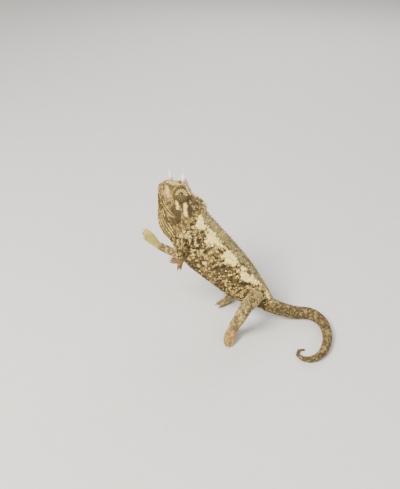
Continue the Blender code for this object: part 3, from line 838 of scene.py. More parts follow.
def outlines(points, facing, lie, radius):  # each scale ends half way to its neighbours
    across, along = scaleAxes(facing, lie)
    cloud = cloudOf(points)
    found = coat["neighbours"] + 1
    near = np.array([[j for _, j, _ in cloud.find_n(point, found)] for point in points.tolist()])[:, 1:]
    arm = points[near] - points[:, None, :]
    gap = np.linalg.norm(arm, axis=2)
    x, y = np.einsum("nkc,nc->nk", arm, along), np.einsum("nkc,nc->nk", arm, across)
    flat = np.maximum(np.hypot(x, y), 1e-6)
    halfWay = gap * radius[:, None] / (radius[:, None] + radius[near])
    reach = []
    for k in range(domeSides):
        turn = 2 * pi * k / domeSides
        toward = (x * cos(turn) + y * sin(turn)) / flat
        limit = np.where(toward > 0.15, halfWay / np.maximum(toward, 0.15), 9.0)
        reach.append(limit.min(axis=1))
    least, most = coat["reach"]
    reach = np.clip(np.column_stack(reach), least * radius[:, None], most * radius[:, None])
    beside = (np.roll(reach, 1, axis=1) + np.roll(reach, -1, axis=1)) / 2
    return np.minimum(reach, coat["roundness"] * beside) * coat["gap"]


def coloured(mesh, rgb, crown):  # the colour and the height on its scale of each vertex
    tints = np.ones((len(crown), 4))
    tints[:, :3] = rgb
    mesh.attributes.new("tint", "FLOAT_COLOR", "POINT").data.foreach_set("color", tints.ravel())
    mesh.attributes.new("crown", "FLOAT", "POINT").data.foreach_set("value", crown)
    return mesh


def scaleMesh(name, shape, scales, atlas, tree=None):  # all the scales of a piece, as one mesh
    points, facing, lie, radius, rise, tint, reach = scales
    across, along = scaleAxes(facing, lie)
    co, corner, turn = shape["co"], shape["corner"], shape["turn"]
    flat = np.hypot(co[:, 0], co[:, 1])
    out = reach[:, corner] * flat
    dx, dy = out * np.cos(turn), out * np.sin(turn)
    lift = co[:, 2] * (radius * rise)[:, None]
    lift = np.where(co[:, 2] < 0, -coat["sunk"], lift)
    lift = lift + np.where(co[:, 2] > 0, coat["tilt"], 0) * dx
    place = points[:, None, :] + along[:, None, :] * dx[..., None] + across[:, None, :] * dy[..., None]
    place = place + facing[:, None, :] * lift[..., None]
    count, size = len(points), len(co)
    if tree:  # each scale's foot follows the skin, however the skin bends away
        foot = place[:, co[:, 2] < 0].reshape(-1, 3)
        spots, outward = snapped(tree, foot)
        place[:, co[:, 2] < 0] = (spots - outward * coat["sunk"]).reshape(count, -1, 3)
    loops = np.concatenate(shape["faces"])
    lengths = np.array([len(face) for face in shape["faces"]])
    allLoops = (loops[None, :] + (np.arange(count) * size)[:, None]).ravel()
    starts = np.concatenate([[0], np.cumsum(np.tile(lengths, count))[:-1]])
    mesh = bpy.data.meshes.new(name)
    mesh.vertices.add(count * size)
    mesh.vertices.foreach_set("co", (place * mm).ravel())
    mesh.loops.add(len(allLoops))
    mesh.loops.foreach_set("vertex_index", allLoops.astype(np.int32))
    mesh.polygons.add(len(starts))
    mesh.polygons.foreach_set("loop_start", starts.astype(np.int32))
    mesh.update(calc_edges=True)
    spot = np.stack([flat * np.cos(turn), flat * np.sin(turn)], axis=1) * coat["patch"]
    under = np.concatenate([[base] * len(face) for face, base in zip(shape["faces"], shape["base"])])
    loopSpot = np.where(under[:, None], (0.0, 0.0), spot[loops])
    uv = atlas[:, None, :] + loopSpot[None, :, :]
    mesh.uv_layers.new(name="OFBake").data.foreach_set("uv", uv.ravel())
    return coloured(mesh, np.repeat(tint, size, axis=0), np.tile(np.clip(co[:, 2], 0, 1), count))


# an unwrap of the skin's own shape gives each scale the place of its patch
plan = {"voxel": 1.1, "angle": 66, "margin": 0.004}


def skinPlan(mesh):
    coarse = remeshed(mesh.copy(), plan["voxel"])
    obj = bpy.data.objects.new("plan", coarse)
    bpy.context.scene.collection.objects.link(obj)
    bpy.context.view_layer.objects.active = obj
    obj.select_set(True)
    bpy.ops.object.mode_set(mode="EDIT")
    bpy.ops.mesh.select_all(action="SELECT")
    bpy.ops.mesh.quads_convert_to_tris()
    bpy.ops.uv.smart_project(angle_limit=radians(plan["angle"]), island_margin=plan["margin"])
    bpy.ops.object.mode_set(mode="OBJECT")
    co = coordinates(coarse)
    corners = np.array([tuple(face.vertices) for face in coarse.polygons])
    uv = np.zeros(len(coarse.loops) * 2)
    coarse.uv_layers.active.data.foreach_get("uv", uv)
    uv = uv.reshape(-1, 3, 2)
    tree = BVHTree.FromPolygons(co.tolist(), corners.tolist())
    bpy.data.objects.remove(obj)
    return co, corners, uv, tree


def planPlaces(points, skin):
    co, corners, uv, tree = skin
    hits = [tree.find_nearest(point) for point in points.tolist()]
    face = np.array([hit[2] for hit in hits])
    spot = np.array([hit[0] for hit in hits])
    a, b, c = (co[corners[face, i]] for i in range(3))
    whole = np.linalg.norm(np.cross(b - a, c - a), axis=1)
    first = np.linalg.norm(np.cross(c - b, spot - b), axis=1) / whole
    second = np.linalg.norm(np.cross(a - c, spot - c), axis=1) / whole
    third = np.clip(1 - first - second, 0, 1)
    return uv[face, 0] * first[:, None] + uv[face, 1] * second[:, None] + uv[face, 2] * third[:, None]


def tone(red, green, blue):  # a screen colour as light
    value = np.array((red, green, blue)) / 255
    return np.where(value <= 0.04045, value / 12.92, ((value + 0.055) / 1.055) ** 2.4)


colours = {
    "cream": tone(252, 230, 142),
    "pale": tone(218, 192, 114),
    "tan": tone(146, 122, 70),
    "brown": tone(88, 71, 38),
    "pit": tone(40, 33, 18),
    "bellyGoldAndShade": tone(90, 70, 34),
    "backGrey": tone(124, 114, 80),
    "backDark": tone(96, 86, 56),
    "limb": tone(154, 135, 87),
    "limbDark": tone(95, 81, 48),
    "limbPale": tone(206, 178, 108),
    "foot": tone(178, 138, 82),
    "tail": tone(100, 82, 49),
    "hand": tone(214, 199, 104),
    "handGreen": tone(158, 148, 80),
    "palm": tone(170, 130, 84),
    "forearm": tone(138, 100, 68),
    "lip": tone(180, 142, 96),
    "lobe": tone(76, 62, 32),
    "crest": tone(230, 216, 170),
    "casque": tone(96, 82, 54),
    "throat": tone(112, 90, 44),
    "throatPale": tone(224, 202, 122),
    "throatDark": tone(62, 48, 25),
}
creamPatches = (
    ((43.4, 10.6), (40.0, 5.0), (34.8, 7.4)),
    ((36.2, 8.9), (32.4, 3.5), (24.8, 7.6)),
    ((25.6, 7.8), (20.9, 2.3), (13.8, 6.5)),
    ((13.8, 6.9), (9.6, 1.5), (0.4, 5.5)),
    ((-2.0, 5.2), (-4.4, 3.0), (-7.4, 4.4)),
)
# a dark ring round the turret, painted shade in the crease where the turret meets the head, and the marks of
# the head from the side
eyeRing = tuple((53.3 + 3.5 * cos(a), 10.2 + 3.3 * sin(a)) for a in np.linspace(0, 2 * pi, 24))
headMarks = (  # colour, path in (s, t), half width, softness
    ("lip", ((59.8, 5.7), (57.8, 4.8)), 0.6, 0.5),
    ("pale", ((60.0, 7.8), (58.4, 6.9), (57.0, 6.3)), 0.75, 0.4),
    ("brown", ((59.2, 9.8), (60.9, 9.4)), 0.5, 0.3),
    ("lobe", ((51.2, 4.2), (49.6, 3.2), (48.3, 1.0)), 2.2, 0.5),
    # painted shade, in part: the two throatDark marks behind the eye stand for a dark-brown hollow under the
    # casque's rear edge and the shade in it
    ("throatDark", ((51.8, 8.6), (48.6, 7.6), (46.6, 8.4)), 1.3, 0.6),
    # painted shade: the dark ring in the crease round the turret
    ("brown", eyeRing, 0.55, 0.35),
    # painted shade, in part: the hollow under the casque's rear edge
    ("throatDark", ((50.4, 10.8), (48.0, 9.6), (45.4, 7.2)), 1.0, 0.4),
    ("cream", ((53.4, 7.3), (50.7, 5.4)), 0.5, 0.25),
    ("cream", ((50.6, 9.6), (48.6, 7.7), (46.5, 5.7)), 0.7, 0.25),
    ("casque", ((49.0, 11.8), (46.0, 12.0), (43.8, 12.2)), 1.6, 0.5),
    ("crest", ((50.2, 13.9), (46.8, 14.9), (43.6, 14.7), (42.2, 13.8)), 0.6, 0.2),
    ("pale", ((57.2, 15.0), (54.0, 14.5), (51.2, 13.4)), 0.5, 0.25),
    ("pale", ((61.8, 9.9), (59.4, 11.2), (57.6, 12.6)), 0.55, 0.3),
    # painted shade: a dark line in the crease of the mouth
    ("pit", tuple((s, t) for s, t, _ in mouthLine), 0.26, 0.1),
)


patterns = {  # the size of each pattern of the markings, and its seed
    "blotch": (5.0, 1), "patch": (2.0, 2), "clump": (1.5, 3), "pit": (1.4, 4), "fleck": (0.65, 22),
    "speck": (0.7, 23), "net": (2.3, 21), "shadow": (1.0, 9),
    "headBlotch": (2.2, 9), "headFleck": (0.8, 10), "casquePit": (0.9, 13), "casqueFleck": (0.7, 24),
    "stripeBreak": (3.0, 14), "throatBlotch": (1.6, 15),
    "limbBlotch": (2.4, 16), "limbFleck": (1.1, 17), "limbPit": (0.75, 18),
    "forearm": (2.5, 19), "green": (1.6, 20),
}


def pattern(world, name):
    return mottle(world, *patterns[name])


def ragged(world, size, seed, amount):  # a shift that roughens the edge of a drawn mark
    return np.column_stack([mottle(world, size, seed), mottle(world, size, seed + 1)]) * amount


def mixed(rgb, name, mask):
    return rgb + (colours[name] - rgb) * np.reshape(np.clip(mask, 0, 1), (-1, 1))


def paintTrunk(places, world):
    s, t = places[:, 0], places[:, 1]
    low, high = lineAt(bellyLine, s), lineAt(backLine, s)
    height = (t - low) / (high - low)
    blotch, patch, clump, fleck = (pattern(world, name) for name in ("blotch", "patch", "clump", "fleck"))
    rgb = np.tile(colours["tan"], (len(s), 1))
    rgb = mixed(rgb, "brown", smoothStep(-0.2, 0.12, blotch + 0.6 * patch))
    # painted shade: the belly turns a darker gold, partly its own golden brown and partly the shade under the
    # body; the pale flecks fade towards it too
    rgb = mixed(rgb, "bellyGoldAndShade", 0.9 * (1 - smoothStep(0.05, 0.35, height)))
    lit = 0.55 + 0.4 * smoothStep(0.06, 0.3, height)
    net = 1 - smoothStep(0.05, 0.16, np.abs(pattern(world, "net")))
    rgb = mixed(rgb, "pale", net * (0.1 + 0.6 * smoothStep(34, 42, s)))
    rgb = mixed(rgb, "pale", lit * smoothStep(0.09, 0.2, 0.55 * clump + 0.55 * fleck - 0.2 * blotch))
    pits = 0.35 * pattern(world, "pit") + 0.6 * pattern(world, "speck") - 0.2 * clump
    rgb = mixed(rgb, "pit", 0.9 * smoothStep(0.06, 0.15, pits))
    # the band along the back is grey-brown: partly its own colour, partly painted shade on the back's slope
    back = smoothStep(0.8, 0.9, height + 0.05 * patch)
    grey = np.tile(colours["backGrey"], (len(s), 1))
    grey = mixed(grey, "backDark", smoothStep(-0.05, 0.3, clump))
    grey = mixed(grey, "tan", 0.6 * smoothStep(0.0, 0.3, patch))
    grey = mixed(grey, "pale", 0.4 * smoothStep(0.1, 0.3, fleck))
    rgb = rgb + (grey - rgb) * back[:, None]
    flat = places[:, :2] + ragged(world, 1.7, 5, 1.3) + ragged(world, 0.8, 7, 0.9)
    for corners in creamPatches:
        shape = insideShape(flat, np.array(corners), 0.2)
        rim = insideShape(flat, np.array(corners) + (0.2, -1.0), 0.4) * (1 - shape)
        rgb = mixed(rgb, "pit", 0.85 * rim * smoothStep(-0.1, 0.15, pattern(world, "shadow")))
        rgb = mixed(rgb, "cream", shape)
    return rgb


def paintHead(places, world):
    rgb = np.tile(colours["tan"], (len(places), 1)) * 0.88
    rgb = mixed(rgb, "brown", smoothStep(-0.1, 0.3, pattern(world, "headBlotch")))
    rgb = mixed(rgb, "pale", 0.36 * smoothStep(0.12, 0.3, pattern(world, "headFleck")))
    flat = places[:, :2] + ragged(world, 1.1, 11, 0.4)
    for name, path, width, soft in headMarks:
        gap, _ = nearPath(flat, path)
        rgb = mixed(rgb, name, 0.92 * (1 - smoothStep(width - soft, width + soft, gap)))
    casque = smoothStep(9.6, 10.8, places[:, 1]) * (1 - smoothStep(49.6, 50.6, places[:, 0]))
    rgb = mixed(rgb, "pit", 0.75 * casque * smoothStep(0.04, 0.16, pattern(world, "casquePit")))
    rgb = mixed(rgb, "pale", 0.45 * casque * smoothStep(0.12, 0.22, pattern(world, "casqueFleck")))
    under = 1 - smoothStep(0.96, 1.04, pleatPlace(places))
    return rgb + (paintThroat(places, world) - rgb) * under[:, None]


def paintThroat(places, world):  # pale stripes on the pleats, dark between them
    u = pleatPlace(places)
    rgb = np.tile(colours["throat"], (len(u), 1))
    wave = np.cos(2 * pi * pleats["count"] * u)
    rgb = mixed(rgb, "throatDark", 0.75 * smoothStep(0.1, 0.9, wave))
    broken = smoothStep(-0.5, -0.05, pattern(world, "stripeBreak"))
    rgb = mixed(rgb, "throatPale", smoothStep(0.3, 0.9, -wave) * broken)
    return mixed(rgb, "brown", 0.4 * smoothStep(0.15, 0.4, pattern(world, "throatBlotch")))


# the right hind foot keeps the limbs' colour, darker than the left foot's: painted shade, as it stands under
# the belly
groundOf = {"tail": "tail", "hind_foot_left": "foot", "fore_foot_right": "palm", "fore_foot_left": "hand"}


def groundColours(mesh):  # the limbs' ground colour and the hand's share of it run on from part to part
    ground = np.array([(*colours["limb"], 0.0)] * len(fleshNodes))
    for index, node in enumerate(fleshNodes):
        for start, colour in groundOf.items():
            if node.startswith(start):
                ground[index, :3] = colours[colour]
        ground[index, 3] = node.startswith("fore_foot")
    co = coordinates(mesh)
    return relaxed(ground[nodeAt(co)], edgePairs(mesh), 80), cloudOf(co)


def paintLimb(places, world, name):
    shades, cloud = ground
    mine = shades[[cloud.find(point)[1] for point in world.tolist()]]
    plain, hand = mine[:, :3], mine[:, 3]
    rgb = plain
    calm = 0.5 if name.startswith("hind_foot") else 0.8
    lit = calm * (0.5 if name.startswith("tail") else 1)
    rgb = mixed(rgb, "limbDark", calm * smoothStep(0.02, 0.22, pattern(world, "limbBlotch")))
    if name.startswith("forearm"):
        rgb = mixed(rgb, "forearm", 0.6 * (1 - hand) * smoothStep(-0.3, 0.1, pattern(world, "forearm")))
    rgb = mixed(rgb, "limbPale", lit * smoothStep(0.06, 0.18, pattern(world, "limbFleck")))
    rgb = mixed(rgb, "pit", calm * 0.75 * smoothStep(0.12, 0.22, pattern(world, "limbPit")))
    rgb = rgb + (plain - rgb) * (0.8 * smoothStep(0.1, 0.8, hand))[:, None]
    if name.endswith("left"):
        # painted shade, in part: the lower, palm side of the left hand turns a darker green
        outer = places[:, 1] - lineAt(((46.0, -7.5), (55.0, -11.8)), places[:, 0])
        rgb = mixed(rgb, "handGreen", hand * (1 - smoothStep(-0.9, 0.2, outer)) * 0.6)
        rgb = mixed(rgb, "handGreen", hand * 0.4 * smoothStep(0.1, 0.4, pattern(world, "green")))
    return rgb


def paint(world, node):
    places = toBody(world)
    rgb = np.zeros((len(world), 3))
    for index, name in enumerate(fleshNodes):
        mine = node == index
        if not mine.any():
            continue
        region = regionNames[regionOfNode[index]]
        at, spot = places[mine], world[mine]
        if region == "trunk" or name.startswith("upper_arm"):
            rgb[mine] = paintTrunk(at, spot)
        elif region == "head":
            rgb[mine] = paintHead(at, spot)
        elif region == "throat":
            rgb[mine] = paintThroat(at, spot)
        else:
            rgb[mine] = paintLimb(at, spot, name)
    return rgb


def addNode(tree, kind, values=(), **settings):  # a shader node with its settings and its sockets' values
    made = tree.nodes.new("ShaderNode" + kind)
    for key, value in settings.items():
        setattr(made, key, value)
    for socket, value in dict(values).items():
        made.inputs[socket].default_value = value
    return made


def addRamp(tree, *stops):  # a colour ramp with its places and colours
    ramp = addNode(tree, "ValToRGB")
    elements = ramp.color_ramp.elements
    for i, (place, colour) in enumerate(stops):
        element = elements[i] if i < 2 else elements.new(place)
        element.position, element.color = place, (*colour, 1)
    return ramp


def link(tree, *joins):  # each join is a node, its output, the next node and its input
    for start, output, end, socket in joins:
        tree.links.new(start.outputs[output], end.inputs[socket])


grainSockets = {
    "INPUT": {"Tint": "Color", "Crown": "Float", "Foot Shade": "Float", "Grain Scale": "Float",
              "Grain Strength": "Float", "Roughness Low": "Float", "Roughness High": "Float"},
    "OUTPUT": {"Color": "Color", "Roughness": "Float", "Height": "Float"},
}


def dryGrainGroup():  # fine grain, and painted shade that darkens the foot of each scale, for anything scaly
    tree = bpy.data.node_groups.new("dryGrain", "ShaderNodeTree")
    for way, sockets in grainSockets.items():
        for name, kind in sockets.items():
            tree.interface.new_socket(name, in_out=way, socket_type="NodeSocket" + kind)
    start, end = tree.nodes.new("NodeGroupInput"), tree.nodes.new("NodeGroupOutput")
    where, grain = addNode(tree, "TexCoord"), addNode(tree, "TexNoise", {"Detail": 4})
    # painted shade: a scale darkens towards its foot, down to Foot Shade
    foot = addNode(tree, "MapRange", {"From Min": 0.05, "From Max": 0.75, "To Max": 1.0})
    shade = addNode(tree, "MapRange", {"From Min": 0.25, "From Max": 0.75})
    less = addNode(tree, "Math", {0: 1.0}, operation="SUBTRACT")
    more = addNode(tree, "Math", {0: 1.0}, operation="ADD")
    both = addNode(tree, "Math", operation="MULTIPLY")
    shaded = addNode(tree, "VectorMath", operation="SCALE")
    rough = addNode(tree, "MapRange")
    link(tree, (where, "Object", grain, "Vector"), (start, "Grain Scale", grain, "Scale"),
         (start, "Crown", foot, "Value"), (start, "Foot Shade", foot, "To Min"),
         (start, "Grain Strength", less, 1), (start, "Grain Strength", more, 1),
         (grain, "Fac", shade, "Value"), (less, "Value", shade, "To Min"), (more, "Value", shade, "To Max"),
         (foot, "Result", both, 0), (shade, "Result", both, 1),
         (start, "Tint", shaded, 0), (both, "Value", shaded, "Scale"), (shaded, "Vector", end, "Color"),
         (grain, "Fac", rough, "Value"), (start, "Roughness Low", rough, "To Min"),
         (start, "Roughness High", rough, "To Max"), (rough, "Result", end, "Roughness"),
         (grain, "Fac", end, "Height"))
    return tree


dryGrain = dryGrainGroup()


def principled(name):
    made = bpy.data.materials.new(name)
    made.use_nodes = True
    return made, made.node_tree, made.node_tree.nodes["Principled BSDF"]


def coatMaterial(name, values):
    made, tree, shader = principled(name)
    own = {key: values[key] for key in grainSockets["INPUT"] if key in values}
    group = addNode(tree, "Group", own, node_tree=dryGrain)
    tint, crown = (addNode(tree, "Attribute", attribute_name=key) for key in ("tint", "crown"))
    bump = addNode(tree, "Bump", {"Strength": values["Bump"], "Distance": values["Bump Depth"] * mm})
    link(tree, (tint, "Color", group, "Tint"), (crown, "Fac", group, "Crown"),
         (group, "Color", shader, "Base Color"), (group, "Roughness", shader, "Roughness"),
         (group, "Height", bump, "Height"), (bump, "Normal", shader, "Normal"))
    shader.inputs["Specular IOR Level"].default_value = values["Specular"]
    return made


finishes = {
    "bodyScales": {"Foot Shade": 0.45, "Grain Scale": 3800, "Grain Strength": 0.16, "Roughness Low": 0.42,
                   "Roughness High": 0.7, "Bump": 0.35, "Bump Depth": 0.05, "Specular": 0.25},
    "skinBetween": {"Foot Shade": 1.0, "Grain Scale": 2600, "Grain Strength": 0.22, "Roughness Low": 0.6,
                    "Roughness High": 0.8, "Bump": 0.5, "Bump Depth": 0.1, "Specular": 0.3},
    "paleHorn": {"root": (0.3, 0.22, 0.09), "tip": (0.84, 0.82, 0.72), "start": 0.3, "turn": 0.62,
                 "grain": 2400, "streak": 0.16, "roughness": 0.34, "spread": 0.08},
    "brownClaw": {"root": (0.2, 0.14, 0.06), "tip": (0.56, 0.48, 0.3), "start": 0.1, "turn": 0.8,
                  "grain": 2600, "streak": 0.3, "roughness": 0.3, "spread": 0.08},
    "wetEye": {"pupil": (0.004, 0.003, 0.002), "iris": (0.16, 0.075, 0.015), "around": (0.05, 0.025, 0.01),
               "edge": 0.03, "irisEnd": 0.62, "roughness": 0.12, "specular": 0.3},
}


def grained(tree, scale, detail):  # noise that stays with the piece
    where, grain = addNode(tree, "TexCoord"), addNode(tree, "TexNoise", {"Scale": scale, "Detail": detail})
    link(tree, (where, "Object", grain, "Vector"))
    return grain


def floorMaterial(name, values):  # matt board with a very faint mottle
    made, tree, shader = principled(name)
    grain = grained(tree, values["grain"], 5)
    colour, mottled = np.array(values["colour"]), values["mottle"]
    ramp = addRamp(tree, (0.0, colour * (1 - mottled)), (1.0, colour * (1 + mottled)))
    link(tree, (grain, "Fac", ramp, "Fac"), (ramp, "Color", shader, "Base Color"))
    shader.inputs["Roughness"].default_value = values["roughness"]
    return made


def streakedMaterial(name, values):  # horn and claw: fine streaks and a darker root
    made, tree, shader = principled(name)
    share = addNode(tree, "Attribute", attribute_name="share")
    ramp = addRamp(tree, (values["start"], values["root"]), (values["turn"], values["tip"]))
    grain = grained(tree, values["grain"], 3)
    mix = addNode(tree, "Mix", {"Factor": values["streak"]}, data_type="RGBA", blend_type="MULTIPLY")
    low, high = values["roughness"] - values["spread"], values["roughness"] + values["spread"]
    rough = addNode(tree, "MapRange", {"To Min": low, "To Max": high})
    bump = addNode(tree, "Bump", {"Strength": 0.3, "Distance": 0.05 * mm})
    # the mix's colours are its sockets 6 and 7, and 2 on the way out
    link(tree, (share, "Fac", ramp, "Fac"), (ramp, "Color", mix, 6), (grain, "Color", mix, 7),
         (mix, 2, shader, "Base Color"), (grain, "Fac", rough, "Value"), (grain, "Fac", bump, "Height"),
         (rough, "Result", shader, "Roughness"), (bump, "Normal", shader, "Normal"))
    return made


eyeValues = {
    "centre": (53.3, 10.2, 3.3),
    "gaze": (0.9, 1.1, 3.0),
    "radius": 3.12,
    "flatten": 0.72,
    "opening": 0.6,
    "rim": 0.16,
    "wall": 0.34,
    "ball": 1.95,
    "ballDepth": 0.16,
    "pupil": 0.34,
    "scale": 0.17,
    "rays": 14,
    "lidShade": 0.45,
    "turns": 40,
    "firstRing": 0.34,  # how far outside the opening the rings of scales begin
    "petals": ((0.8, 1.1), (2.35, 2.75)),  # where the pale scales come in and fade out
    "palest": 0.9,      # which way round the eye they are palest
    "height": 0.55,     # of a lid's scale, for its radius
}


def eyeFrame(side):  # centre, forward, up and the way it looks
    s, t, w = eyeValues["centre"]
    centre = toWorld((s, t, w * side))[0]
    x, y, z = eyeValues["gaze"]
    gaze = bodyDirection((x, y, z * side))
    ahead = bodyDirection((1, 0, 0))
    ahead = unit(ahead - gaze * (ahead @ gaze))
    up = unit(bodyDirection((0, 1, 0)) - gaze * (bodyDirection((0, 1, 0)) @ gaze))
    up = unit(up - ahead * (up @ ahead))
    return centre, ahead, up, gaze


def turretHeight(radius, shrink=0.0):  # the lid is part of a flattened ball
    outer = eyeValues["radius"] - shrink
    return eyeValues["flatten"] * np.sqrt(np.maximum(outer ** 2 - np.asarray(radius) ** 2, 0))


def turned(bm, centre, ahead, up, gaze):  # from the eye's own axes to its place on the head
    turn = Matrix((ahead, up, gaze)).transposed().to_4x4()
    bmesh.ops.transform(bm, matrix=Matrix.Translation(centre) @ turn, verts=bm.verts)


def eyeTurret(name, side, finish):
    v = eyeValues
    opening, crown = v["opening"], float(turretHeight(v["opening"]))
    inner = [(2.45, -1.4)] + [(r, float(turretHeight(r, v["wall"]))) for r in (2.72, 2.3, 1.7, 1.15)]
    rim = [(opening - 0.02, crown - 0.28), (opening, crown - 0.02), (opening + 0.1, crown + v["rim"] * 0.7)]
    lid = [(r, turretHeight(r)) for r in np.linspace(opening + 0.28, v["radius"] * 0.995, 14)]
    below = [(r, -turretHeight(r)) for r in (v["radius"] * 0.95, v["radius"] * 0.8)]
    bm = bmesh.new()
    verts = [bm.verts.new((r, 0, z)) for r, z in inner + rim + lid + below]
    edges = [bm.edges.new((a, b)) for a, b in zip(verts, verts[1:] + verts[:1])]
    bmesh.ops.spin(bm, geom=verts + edges, cent=(0, 0, 0), axis=(0, 0, 1), angle=2 * pi, steps=v["turns"],
                   use_merge=True)
    bmesh.ops.remove_doubles(bm, verts=bm.verts, dist=0.001)
    turned(bm, *eyeFrame(side))
    return finished(name, bm, finish)


def eyeball(name, side, finish):
    v = eyeValues
    centre, ahead, up, gaze = eyeFrame(side)
    bm = bmesh.new()
    bmesh.ops.create_uvsphere(bm, u_segments=40, v_segments=28, radius=v["ball"])
    layer = bm.verts.layers.float.new("fromPole")
    for vert in bm.verts:
        vert[layer] = np.hypot(vert.co.x, vert.co.y) if vert.co.z > 0 else v["ball"]
    depth = float(turretHeight(v["opening"])) - v["ballDepth"] - v["ball"]
    turned(bm, centre + gaze * depth, ahead, up, gaze)
    return finished(name, bm, finish)


def eyeMaterial(name, values):
    made, tree, shader = principled(name)
    pole = addNode(tree, "Attribute", attribute_name="fromPole")
    pupil, edge = eyeValues["pupil"], values["edge"]
    ramp = addRamp(tree, (pupil - edge, values["pupil"]), (pupil + edge, values["iris"]),
                   (values["irisEnd"], values["around"]))
    link(tree, (pole, "Fac", ramp, "Fac"), (ramp, "Color", shader, "Base Color"))
    shader.inputs["Roughness"].default_value = values["roughness"]
    shader.inputs["Specular IOR Level"].default_value = values["specular"]
    return made


def turretScales(side):  # rings of scales, dark and pale by turns round the eye
    v = eyeValues
    centre, ahead, up, gaze = eyeFrame(side)
    rings, r = [], v["opening"] + v["firstRing"]
    while r < v["radius"] * 0.985:
        perRay = max(3, int(round(2 * pi * r / (2 * v["scale"]) / v["rays"])))
        rings += [(r, k, perRay * v["rays"], k % perRay > 0) for k in range(perRay * v["rays"])]
        slope = v["flatten"] / np.sqrt(max(1 - (r / v["radius"]) ** 2, 0.02))
        r += 2 * v["scale"] * 0.92 / np.hypot(1, slope * r / v["radius"])
    r, k, count, petal = np.array(rings, float).T
    turn = 2 * pi * k / count
    flat = np.outer(np.cos(turn), ahead) + np.outer(np.sin(turn), up)
    high = np.outer(turretHeight(r), gaze)
    facing = unit(flat * (r * v["flatten"] ** 2)[:, None] + high)
    band = window(r, *v["petals"]) * (0.18 + 0.74 * smoothStep(-0.4, 0.0, np.cos(turn - v["palest"])))
    rgb = np.outer(0.36 + 0.84 * smoothStep(2.3, 2.9, r), colours["brown"])
    rgb += (colours["throatPale"] * 0.9 - rgb) * (petal * band)[:, None]
    rgb += (colours["tan"] - rgb) * (0.7 * (r < 0.95))[:, None]
    rgb *= np.random.default_rng(coat["seed"] + 7).uniform(0.85, 1.15, len(r))[:, None]
    radius = np.minimum(v["scale"], 3.4 * r / count)
    lie = np.tile(-bodyDirection((1, 0, 0)), (len(r), 1))
    return centre + flat * r[:, None] + high, facing, rgb, radius, lie


hornValues = {
    "rostral": {"root": (60.9, 10.2, 0.0), "tip": (65.1, 13.5, 0.0), "radius": 1.14},
    "brow": {"root": (56.4, 14.0, 1.95), "tip": (59.9, 16.2, 1.95), "radius": 1.02},
    "sweep": 0.35,   # how far a horn bows back
    "rings": 22,
    "sides": 20,
    "ringDepth": 0.07,
    "point": 0.07,
    "buried": 0.24,  # the share of a horn's length that stands inside the head
}


def grownTube(bm, centres, radii, hint, sides):  # rings joined one to the next, with both ends closed
    ahead = unit(np.gradient(centres, axis=0))
    across = unit(np.cross(ahead, hint))
    beside = np.cross(ahead, across)
    layer = bm.verts.layers.float.get("share") or bm.verts.layers.float.new("share")
    before = None
    for i, (centre, radius) in enumerate(zip(centres, radii)):
        turn = Matrix((across[i], beside[i], np.cross(across[i], beside[i]))).transposed().to_4x4()
        place = Matrix.Translation(centre) @ turn
        verts = bmesh.ops.create_circle(bm, radius=radius, segments=sides, matrix=place)["verts"]
        edges = list({edge for vert in verts for edge in vert.link_edges if edge.other_vert(vert) in verts})
        for vert in verts:
            vert[layer] = i / (len(centres) - 1)
        if before:
            bmesh.ops.bridge_loops(bm, edges=before + edges)
        else:
            bmesh.ops.edgeloop_fill(bm, edges=edges)
        before = edges
    bmesh.ops.edgeloop_fill(bm, edges=before)


def horn(name, values, side, finish):
    root, tip = toWorld(mirrored((values["root"], values["tip"]), side))
    bow = unit(np.cross(unit(tip - root), axes[2])) * hornValues["sweep"]
    parts = np.linspace(-hornValues["buried"], 1, hornValues["rings"])
    centres = np.array([root + (tip - root) * part + bow * 4 * max(part, 0) * (1 - part) for part in parts])
    shape = (1 - np.clip(parts, 0, 1)) ** 0.8 * (1 + 2 * np.minimum(parts, 0))
    radii = values["radius"] * shape + hornValues["point"]
    radii = radii - hornValues["ringDepth"] * (np.arange(len(parts)) % 3 == 0) * shape
    bm = bmesh.new()
    grownTube(bm, centres, radii, axes[2], hornValues["sides"])
    return finished(name, bm, finish)


def clawsOf(name, foot, finish):
    v = clawValues
    bm = bmesh.new()
    onFloor = foot.startswith("hind")
    parts = np.linspace(0, 1, v["rings"])
    radii = v["root"] * (1 - parts) ** 0.7 + v["point"]
    palm = np.mean([end[0] for end in digitEnds(foot)], axis=0)
    for tip, ahead, radius in digitEnds(foot):
        down = np.array((0, 0, -1.0)) if onFloor else unit(palm - tip)
        down = unit(down - ahead * (down @ ahead))
        hook = v["hook"] * (0.2 if onFloor else 1)
        reach = v["length"] + radius * 0.4
        start = tip + ahead * radius * 0.35
        centres = start + np.outer(parts, ahead * reach) + np.outer(hook * parts ** 2, down)
        lowest = np.maximum(radii + 0.01, v["point"] + 0.02) if onFloor else v["point"] + 0.02
        centres[:, 2] = np.maximum(centres[:, 2], lowest)
        grownTube(bm, centres, radii, down, v["sides"])
    return finished(name, bm, finish)


crestValues = {"from": -6.0, "to": 42.0, "pitch": 1.6, "heights": (0.8, 0.5), "root": 0.46, "lean": 0.35}


def crestSpots(tree):  # where each cone stands on the ridge of the back, its way up, its lie and its height
    stops = np.arange(crestValues["from"], crestValues["to"], crestValues["pitch"])
    rows = []
    for i, s in enumerate(stops):
        top = toWorld((s, 30.0, 0.0))[0]
        down = unit(toWorld((s, 0.0, 0.0))[0] - top)
        hit = tree.ray_cast(top.tolist(), down.tolist())
        if hit[0] is not None:
            height = crestValues["heights"][i % 2]
            back = -bodyDirection((1, 0, 0), s)
            rows.append((np.array(hit[0]), unit(-down + back * crestValues["lean"]), back, height))
    return rows


print("skin: joining and rounding the flesh")
skinBase = skinMesh()
print("skin: modelling the head, the throat and the folds")
sculpt(skinBase)
skinTree = surfaceTree(skinBase)
print("skin:", sum(len(face.vertices) - 2 for face in skinBase.polygons), "triangles")

